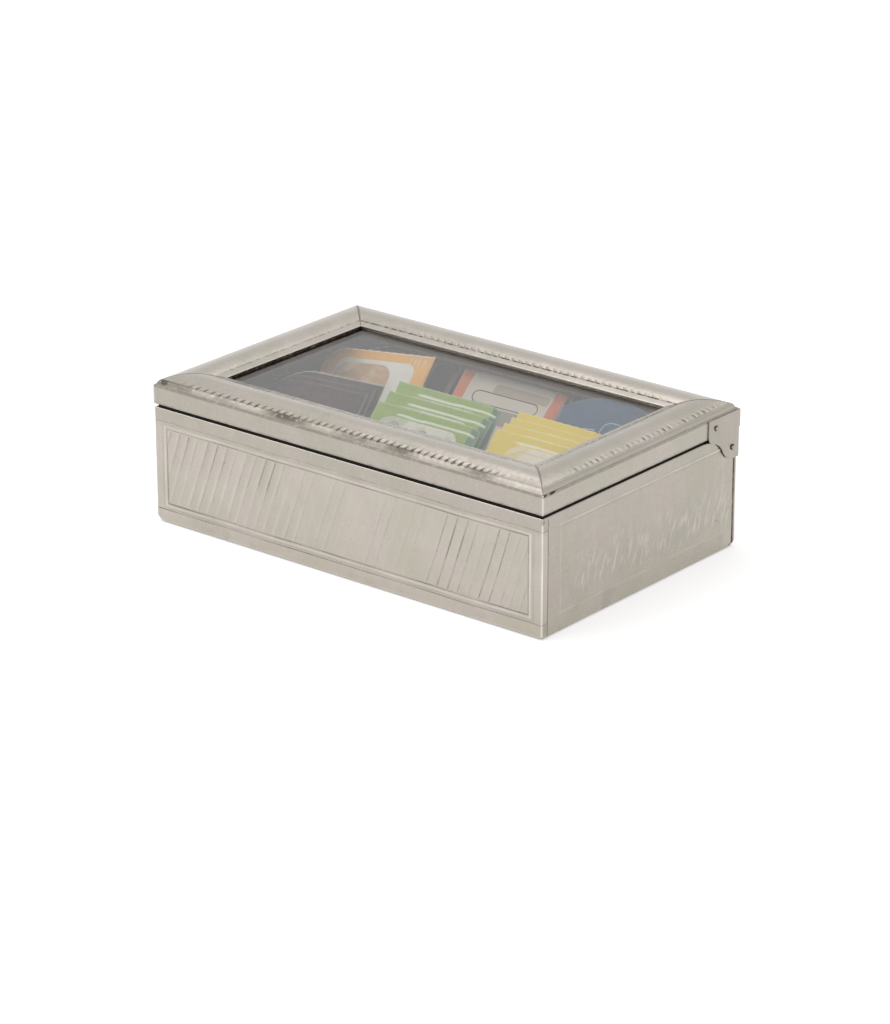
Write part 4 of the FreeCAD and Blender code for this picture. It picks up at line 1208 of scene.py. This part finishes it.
def make_strip(side, material, step, ear_edges):
    """One plain edge strip of the lid, folded under the rail."""
    ends = side in ("left", "right")
    half = LID_Y if ends else LID_X
    outer = LID_X if ends else LID_Y
    sign = 1 if side in ("right", "back") else -1
    low, high = STRIP_LOW.z, STRIP_HIGH.z
    fold = corners(f"lid_strip_{side}")
    reach = fold[1].x - fold[0].x if ends else fold[1].y - fold[0].y
    rows = [(reach, low + 0.5, "under"), (reach, low + 0.05, "under")]
    rows += [(reach - 0.4, low, "under"), (2.0, low, "under")]
    rows += [(0.7, low + 0.02, "face"), (0.3, low + 0.14, "face"), (0.08, low + 0.4, "face")]
    rows += [(0.0, height, "face") for height in steps(low + 0.8, high - 1.5, step * 1.3)]
    rows += [(0.02, high - 1.2, "face"), (0.14, high - 0.95, "crease"), (0.02, high - 0.72, "face")]
    rows += [(0.0, high - 0.45, "bead"), (0.1, high - 0.18, "bead"), (0.32, high - 0.02, "bead")]
    rows += [(0.75, high, "top")]
    rows += [(1.0, high - 0.5, "back"), (0.5, high - 0.55, "back"), (0.5, low + 0.52, "back")]
    columns = steps(-half, half, step * 1.5)
    seed = {"front": 80, "back": 83, "left": 86, "right": 89}[side]

    def place(column, row):
        """Point and wear at a column and a row."""
        inset, height, part = row
        room = half - inset
        along = min(max(column, -room), room)
        patina_and_shade = 0.0
        polish_and_highlight = 0.0
        lift = 0.0
        if part in ("face", "crease", "bead"):
            lift = -0.03 - 0.05 * (1.0 + grain(column, height, seed, 16.0))
            corner = line_mark(half - abs(column), 1.0)
            # Lighter strip ends: worn polish and a painted highlight. Painted shade over each strip, more on
            # the front and left ones.
            polish_and_highlight = 0.8 * corner
            patina_and_shade = (0.13 if sign < 0 else 0.07) * (1.0 - corner)
            if part == "bead":
                patina_and_shade = max(patina_and_shade, 0.6 if side == "front" else 0.35)
            if part == "crease":
                patina_and_shade = 0.7 + 0.3 * grain(column, 0.0, seed + 1, 13.0)
            if height < low + 0.9:
                patina_and_shade = max(patina_and_shade, 0.22 + 0.4 * max(0.0, grain(column, 1.0, seed + 2, 4.0)))
        elif part == "top":
            patina_and_shade = 0.62
        if ends and sign > 0 and column < 12.0 - half:
            jag = soft_step(grain(column, height, 92, 1.4), -0.2, 0.3)
            upper = soft_step(height, high - 1.5, high - 0.7)
            patina_and_shade = max(patina_and_shade, jag * upper * soft_step(12.0 - half - column, 0.0, 3.0))
        # Painted shadow round the hinge plate.
        if ends and part == "face":
            patina_and_shade = max(patina_and_shade, 0.75 * near_edges(ear_edges, along, height))
        across = (outer - inset + lift) * sign
        x, y = (across, along) if ends else (along, across)
        return (x, y, height), (patina_and_shade, polish_and_highlight)

    points, marks, faces = closed_sheet(columns, rows, place)
    name = f"lid_strip_{side}"
    return new_piece(f"{name}_skin", points, faces, "lid", material, (name,), marks)


# Paper sachets

class Stance(NamedTuple):
    """How one colour's sachets stand, in millimetres.

    A shift to the right, how far the top edge has sunk, and its fall per millimetre from the right end. Then
    where the left and the right side start to curve down, each with its drop per square millimetre.
    """

    shift: float = 0.0
    sunk: float = 0.0
    tilt: float = 0.0
    left_start: float = 60.0
    left_drop: float = 0.0
    right_start: float = 60.0
    right_drop: float = 0.0


STANCES = {
    "plum": Stance(shift=-3.0, sunk=3.6, tilt=0.038, left_start=10.0, left_drop=0.016),
    "green": Stance(right_start=22.0, right_drop=0.012),
    "yellow": Stance(left_start=28.0, left_drop=0.01, right_start=13.5, right_drop=0.025),
    "orange": Stance(sunk=0.8, tilt=0.10, left_start=22.0, left_drop=0.05),
    "brown": Stance(left_start=2.0, left_drop=0.0078),
    "white": Stance(),
    "blue": Stance(left_start=6.0, left_drop=0.0115, right_start=4.0, right_drop=0.0105),
}


def islands(node):
    """The loose solids of a node in the mesh's own order, each as its list of points in millimetres."""
    shape = bmesh.new()
    shape.from_mesh(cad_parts[node].data)
    bmesh.ops.remove_doubles(shape, verts=shape.verts, dist=1e-6)
    left = set(shape.verts)
    found = []
    for start in shape.verts:
        if start not in left:
            continue
        left.remove(start)
        front = [start]
        island = [start]
        while front:
            vert = front.pop()
            for edge in vert.link_edges:
                other = edge.other_vert(vert)
                if other in left:
                    left.remove(other)
                    front.append(other)
                    island.append(other)
        found.append([vert.co / MM for vert in island])
    shape.free()
    return found


def lean_line(points):
    """Foot and top middle points of a leaning sachet, and its half width."""
    low = min(points, key=lambda point: point.z)
    high = max(points, key=lambda point: point.z)
    middle = (min(point.x for point in points) + max(point.x for point in points)) / 2
    half = (max(point.x for point in points) - min(point.x for point in points)) / 2
    direction = Vector((0.0, high.y - low.y, high.z - low.z)).normalized()
    for _ in range(3):
        reach = [point.dot(direction) for point in points]
        ends = []
        for limit, want in ((min(reach), 1), (max(reach), -1)):
            near = [point for point, along in zip(points, reach) if (along - limit) * want < 0.4]
            ends.append(sum(near, Vector()) / len(near))
        foot, top = ends
        direction = Vector((0.0, top.y - foot.y, top.z - foot.z)).normalized()
    return Vector((middle, foot.y, foot.z)), Vector((middle, top.y, top.z)), half


def make_sachet(name, colour, material, points, order, rear):
    """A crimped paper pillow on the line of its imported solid; rear marks the last of its stack."""
    foot, top, half = lean_line(points)
    up = (top - foot).normalized()
    length = (top - foot).length
    out = Vector((0.0, -up.z, up.y)).normalized()
    seam = 7.0
    seed = 100 + order
    columns = steps(-half, half, 1.15)
    rows = steps(0.0, seam, 0.9)
    rows += steps(seam, length - seam, 1.5)[1:]
    rows += steps(length - seam, length, 0.5)[1:]
    stance = STANCES[colour]
    foot.x += stance.shift
    light = colour in ("green", "yellow")
    lit_edge = 0.3 if light else (0.85 if rear else 0.12)
    room_over = lid_room()

    def droop(x):
        """Drop of the top edge at this place across the sachet."""
        left = max(0.0, -x - stance.left_start)
        right = max(0.0, x - stance.right_start)
        curve = left * left * stance.left_drop + right * right * stance.right_drop
        return stance.sunk + (half - x) * stance.tilt + curve

    def place(x, t, side):
        """Point of one face, by place across and height along the sachet."""
        share = t / length
        edge = 1.0 - abs(x) / half
        belly = max(0.0, math.sin(math.pi * min(max((t - seam * 0.6) / (length - seam * 1.2), 0.0), 1.0)))
        round_edge = math.sqrt(max(0.0, 1.0 - (1.0 - min(1.0, edge * 5.5)) ** 2))
        thick = 0.14 + 1.35 * belly ** 0.75 * round_edge
        in_seam = max(soft_step(seam - t, -0.8, 0.6), soft_step(t - length + seam, -0.8, 0.6))
        crimp = 0.16 * math.sin(x * math.tau / 1.7) * in_seam
        pull = grain(x * 1.3, t * 0.35, seed + side, 4.2) * 0.42 * belly ** 0.4 * soft_step(edge, 0.0, 0.12)
        pull += grain(x, t, seed + 5 + side, 11.0) * 0.45 * belly
        off = side * thick * (1.0 + 0.3 * grain(x, t, seed + 9, 16.0)) + crimp + pull * 0.8 * side
        bow = 0.55 * math.sin(math.pi * share) * grain(x, 0.0, seed + 11, 30.0)
        waist = 1.0 - 0.006 * belly - 0.004 * grain(t, 0.0, seed + 12, 9.0)
        tooth = 0.35 * abs((x / 1.5) % 1.0 - 0.5) * 2.0 * soft_step(t, length - 0.2, length)
        drop = droop(x) * soft_step(share, 0.35, 1.0)
        reach = t - tooth - drop / max(up.z, 0.3)
        point = foot + Vector((x * waist, 0.0, 0.0)) + up * reach + out * (off + bow)
        room = room_over(point.x)
        if point.z > room:
            point.z = room - 0.15 * (point.z - room) ** 0.5
        return point

    verts = []
    marks = []
    prints = []
    for side in (1, -1):
        for x in columns:
            for t in rows:
                point = place(x, t, side)
                verts.append(point)
                from_top = length - t
                # Painted highlights along the top edge, brightest on the rear sachet, and on a crimp of the
                # seam on the light papers; the side edges are paler.
                near_top = line_mark(from_top - 0.25, 0.75)
                wave = 4.4 + 0.5 * grain(x, 0.0, seed + 15, 11.0)
                ends = soft_step(x, half * -0.62, half * -0.5) * soft_step(half - x, 1.0, 3.0)
                seam_highlight = groove(from_top - wave, 0.85) * ends
                polish_and_highlight = max(near_top * lit_edge, seam_highlight * 0.75 * light)
                rim = line_mark(half - abs(x), 0.8) * 0.2
                marks.append((0.0, max(polish_and_highlight, rim)))
                prints.append((x * side / PRINT_SCALE, from_top / PRINT_SCALE))
    around = len(rows)
    count = len(columns) * around
    faces = []
    for base, flip in ((0, False), (count, True)):
        for column in range(len(columns) - 1):
            for row in range(around - 1):
                corner = base + column * around + row
                quad = (corner, corner + around, corner + around + 1, corner + 1)
                faces.append(tuple(reversed(quad)) if flip else quad)
    border = [column * around for column in range(len(columns))]
    border += [(len(columns) - 1) * around + row for row in range(1, around)]
    border += [column * around + around - 1 for column in reversed(range(len(columns) - 1))]
    border += reversed(range(1, around - 1))
    for index, start in enumerate(border):
        end = border[(index + 1) % len(border)]
        faces.append((end, start, start + count, end + count))
    return new_piece(name, verts, faces, "box", material, (), marks, prints, sharp=80.0)


def lid_room():
    """Height that the closed lid leaves over a place across the box."""
    slope_start = LIP_X - 5.8
    slope_end = corners("glazing_bead_right")[1].x
    high = GLASS_LOW.z - 0.35
    low = corners("lid_rail_right")[0].z - 0.7

    def room(x):
        """Height left at a place across the box."""
        reach = abs(x)
        if reach <= slope_start:
            return high
        if reach >= slope_end:
            return low - 1.2 * min(1.0, (reach - slope_end) / 9.0)
        return high + (low - high) * (reach - slope_start) / (slope_end - slope_start)

    return room


# The stage

# Name, place, size and power of each lamp
LAMPS = (
    ("key_lamp", (-1.2, -1.3, 1.9), 2.4, 25.0),
    ("fill_lamp", (1.6, -1.7, 1.4), 1.6, 7.0),
    ("top_lamp", (-0.4, 0.9, 2.2), 1.8, 10.0),
)

# The camera as solved from the photograph: its angles, its distance in metres, its focal length in pixels
CAMERA_AZIMUTH = math.radians(39.13)
CAMERA_ELEVATION = math.radians(21.38)
CAMERA_DISTANCE = 1.937
CAMERA_FOCUS = 3985.0
PHOTO_SIZE = (890, 1024)
AIM_HEIGHT = 0.040
AIM_RIGHT = 0.0007
AIM_DOWN = 0.0274


def make_floor():
    """A plain white floor that shows white and keeps the box's shadow."""
    mesh = bpy.data.meshes.new("floor")
    points = [(x * 6.0, y * 6.0, 0.0) for x, y in ((-1, -1), (1, -1), (1, 1), (-1, 1))]
    mesh.from_pydata(points, [], [(0, 1, 2, 3)])
    floor = bpy.data.objects.new("floor", mesh)
    bpy.context.scene.collection.objects.link(floor)
    floor.location.z = -0.0002
    material, tree, shader = new_material("floor_white")
    shader.inputs["Base Color"].default_value = (0.78, 0.78, 0.78, 1.0)
    shader.inputs["Roughness"].default_value = 0.9
    shader.inputs["Specular IOR Level"].default_value = 0.0
    ray = add(tree, "ShaderNodeLightPath")
    looked_at = times(tree, ray.outputs["Is Camera Ray"], 1.25)
    seen = maths(tree, "MAXIMUM", looked_at, ray.outputs["Is Transmission Ray"])
    seen = maths(tree, "MAXIMUM", seen, times(tree, ray.outputs["Is Glossy Ray"], 0.85))
    shader.inputs["Emission Color"].default_value = (1.0, 1.0, 1.0, 1.0)
    feed(tree, shader.inputs["Emission Strength"], times(tree, seen, 0.4))
    mesh.materials.append(material)


def make_world(scene):
    """Soft grey light all round, white where the camera, gloss and glass look."""
    world = bpy.data.worlds.new("studio")
    scene.world = world
    world.use_nodes = True
    tree = world.node_tree
    background = tree.nodes["Background"]
    ray = add(tree, "ShaderNodeLightPath")
    height = add(tree, "ShaderNodeSeparateXYZ")
    feed(tree, height.inputs[0], add(tree, "ShaderNodeTexCoord").outputs["Generated"])
    overhead = spread(tree, height.outputs["Z"], 0.0, 0.45, 0.95, 0.78)
    mirrored = maths(tree, "MAXIMUM", ray.outputs["Is Glossy Ray"], ray.outputs["Is Transmission Ray"])
    shown = maths(tree, "MULTIPLY", mirrored, overhead)
    strength = maths(tree, "MAXIMUM", shown, 0.5)
    strength = maths(tree, "MAXIMUM", strength, ray.outputs["Is Camera Ray"])
    background.inputs["Color"].default_value = (1.0, 1.0, 1.0, 1.0)
    feed(tree, background.inputs["Strength"], strength)


def make_lamp(name, place, size, watts):
    """A square soft lamp that faces the box."""
    data = bpy.data.lights.new(name, "AREA")
    data.shape = "SQUARE"
    data.size = size
    data.energy = watts
    lamp = bpy.data.objects.new(name, data)
    bpy.context.scene.collection.objects.link(lamp)
    lamp.location = place
    lamp.rotation_euler = (-Vector(place)).to_track_quat("-Z", "Y").to_euler()


def make_camera(scene):
    """The camera at the photograph's viewing angle."""
    flat = math.cos(CAMERA_ELEVATION)
    back = Vector((
        math.sin(CAMERA_AZIMUTH) * flat, -math.cos(CAMERA_AZIMUTH) * flat, math.sin(CAMERA_ELEVATION)))
    right = Vector((math.cos(CAMERA_AZIMUTH), math.sin(CAMERA_AZIMUTH), 0.0))
    up = back.cross(right)
    aim = Vector((0.0, 0.0, AIM_HEIGHT)) + right * AIM_RIGHT - up * AIM_DOWN
    data = bpy.data.cameras.new("camera")
    data.sensor_width = 36.0
    data.sensor_fit = "AUTO"
    data.lens = CAMERA_FOCUS / max(PHOTO_SIZE) * data.sensor_width
    data.clip_start = 0.01
    camera = bpy.data.objects.new("camera", data)
    scene.collection.objects.link(camera)
    camera.matrix_world = Matrix((right, up, back)).transposed().to_4x4()
    camera.location = aim + back * CAMERA_DISTANCE
    scene.camera = camera
    scene.view_settings.view_transform = "Standard"


# Operators

class TEABOX_OT_materials(bpy.types.Operator):
    """Make the shared node groups and the materials"""

    bl_idname = "teabox.materials"
    bl_label = "Make Materials"

    def execute(self, context):
        make_nickel_group()
        make_fibre_group()
        make_grain_group()
        make_panel_group()
        nickel("pressed_nickel", 0.25)
        nickel("hinge_nickel", 0.27, 0.2, 0.86)
        felt_material()
        wood_material("carcass_timber", 1.0)
        wood_material("bead_timber", 0.28)
        glass_material()
        paper_materials()
        return {"FINISHED"}


class TEABOX_OT_box_sheets(bpy.types.Operator):
    """Make the four pressed sheets of the box"""

    bl_idname = "teabox.box_sheets"
    bl_label = "Make Box Sheets"

    def execute(self, context):
        metal = bpy.data.materials["pressed_nickel"]
        step = context.scene.tea_box_shape.mesh_step / MM
        make_long_sheet("cladding_front_sheet", -1, metal, PressedFront(), FRONT_LAP, step * 0.75)
        make_long_sheet("cladding_back_sheet", 1, metal, PressedBack(), BACK_LAP, step * 1.6)
        for name, sign in (("left", -1), ("right", 1)):
            edges = plate_edges(f"hinge_ear_{name}")
            make_end_sheet(f"cladding_{name}_sheet", sign, metal, PressedEnd(sign, edges), step)
        return {"FINISHED"}


class TEABOX_OT_lid_metal(bpy.types.Operator):
    """Make the lid's mouldings and edge strips"""

    bl_idname = "teabox.lid_metal"
    bl_label = "Make Lid Metal"

    def execute(self, context):
        metal = bpy.data.materials["pressed_nickel"]
        step = context.scene.tea_box_shape.mesh_step / MM
        for side in ("front", "back", "left", "right"):
            edges = plate_edges(f"hinge_ear_{side}") if side in ("left", "right") else []
            make_moulding(side, metal, step * 0.9)
            make_strip(side, metal, step, edges)
        return {"FINISHED"}


class TEABOX_OT_hinges(bpy.types.Operator):
    """Make the hinge plates and their pins with softened edges"""

    bl_idname = "teabox.hinges"
    bl_label = "Make Hinges"

    def execute(self, context):
        metal = bpy.data.materials["hinge_nickel"]
        for side in ("left", "right"):
            softened(f"hinge_plate_{side}", "lid", metal, f"hinge_ear_{side}", 0.16)
        for node, body in (("pivot_pins", "box"), ("ear_rivets", "lid")):
            softened(f"{node}_polished", body, metal, node, 0.1, ringed=True)
        return {"FINISHED"}


class TEABOX_OT_wood_and_felt(bpy.types.Operator):
    """Give the boards, rails, linings, dividers and beads their finish"""

    bl_idname = "teabox.wood_and_felt"
    bl_label = "Finish Wood and Felt"

    def execute(self, context):
        finishes = {
            "carcass_timber": ("wall_board", "base_board"),
            "bead_timber": ("lid_rail", "glazing_bead"),
            "dark_felt_cloth": ("base_felt", "rim_felt", "lining", "long_divider", "cross_divider"),
            "clear_pane": ("glass_pane",),
        }
        for name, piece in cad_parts.items():
            for material, starts in finishes.items():
                if name.startswith(starts):
                    for slot in piece.material_slots:
                        slot.material = bpy.data.materials[material]
        return {"FINISHED"}


class TEABOX_OT_sachets(bpy.types.Operator):
    """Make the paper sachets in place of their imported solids"""

    bl_idname = "teabox.sachets"
    bl_label = "Make Sachets"

    def execute(self, context):
        order = 0
        for colour in STANCES:
            node = f"sachets_{colour}"
            material = bpy.data.materials[f"paper_{colour}_print"]
            solids = sorted(islands(node), key=lambda points: min(point.y for point in points))
            for index, points in enumerate(solids, start=1):
                order += 1
                rear = index == len(solids)
                piece = make_sachet(f"sachet_{colour}_{index}", colour, material, points, order, rear)
                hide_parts(node)
        return {"FINISHED"}


class TEABOX_OT_stage(bpy.types.Operator):
    """Make the floor, the lamps, the world and the camera"""

    bl_idname = "teabox.stage"
    bl_label = "Make Stage"

    def execute(self, context):
        make_floor()
        make_world(context.scene)
        for lamp in LAMPS:
            make_lamp(*lamp)
        make_camera(context.scene)
        return {"FINISHED"}


class TEABOX_PT_panel(bpy.types.Panel):
    """Sidebar panel with the box's sizes, colours and pieces"""

    bl_idname = "TEABOX_PT_panel"
    bl_label = "Tea Box"
    bl_space_type = "VIEW_3D"
    bl_region_type = "UI"
    bl_category = "Tea Box"

    def draw(self, context):
        scene = context.scene
        for group in (scene.tea_box_shape, scene.tea_box_finish, scene.tea_box_papers):
            box = self.layout.box()
            for name in group.bl_rna.properties.keys():
                if name not in ("rna_type", "name"):
                    box.prop(group, name)
        column = self.layout.column(align=True)
        for operator in OPERATORS:
            column.operator(operator.bl_idname)


GROUPS = {
    "tea_box_shape": TeaBoxShape,
    "tea_box_finish": TeaBoxFinish,
    "tea_box_papers": TeaBoxPapers,
}
OPERATORS = (
    TEABOX_OT_materials,
    TEABOX_OT_box_sheets,
    TEABOX_OT_lid_metal,
    TEABOX_OT_hinges,
    TEABOX_OT_wood_and_felt,
    TEABOX_OT_sachets,
    TEABOX_OT_stage,
)


def register():
    """Registers the settings, the operators and the panel."""
    for name, group in GROUPS.items():
        bpy.utils.register_class(group)
        setattr(bpy.types.Scene, name, bpy.props.PointerProperty(type=group))
    for made in (*OPERATORS, TEABOX_PT_panel):
        bpy.utils.register_class(made)


def unregister():
    """Takes the panel, the operators and the settings away again."""
    for made in reversed((*OPERATORS, TEABOX_PT_panel)):
        bpy.utils.unregister_class(made)
    for name, group in reversed(GROUPS.items()):
        delattr(bpy.types.Scene, name)
        bpy.utils.unregister_class(group)


def main():
    """Registers the add-on and makes every piece in order."""
    register()
    bpy.ops.teabox.stage()
    bpy.ops.teabox.materials()
    bpy.ops.teabox.box_sheets()
    bpy.ops.teabox.lid_metal()
    bpy.ops.teabox.hinges()
    bpy.ops.teabox.wood_and_felt()
    bpy.ops.teabox.sachets()


if __name__ == "__main__":
    main()
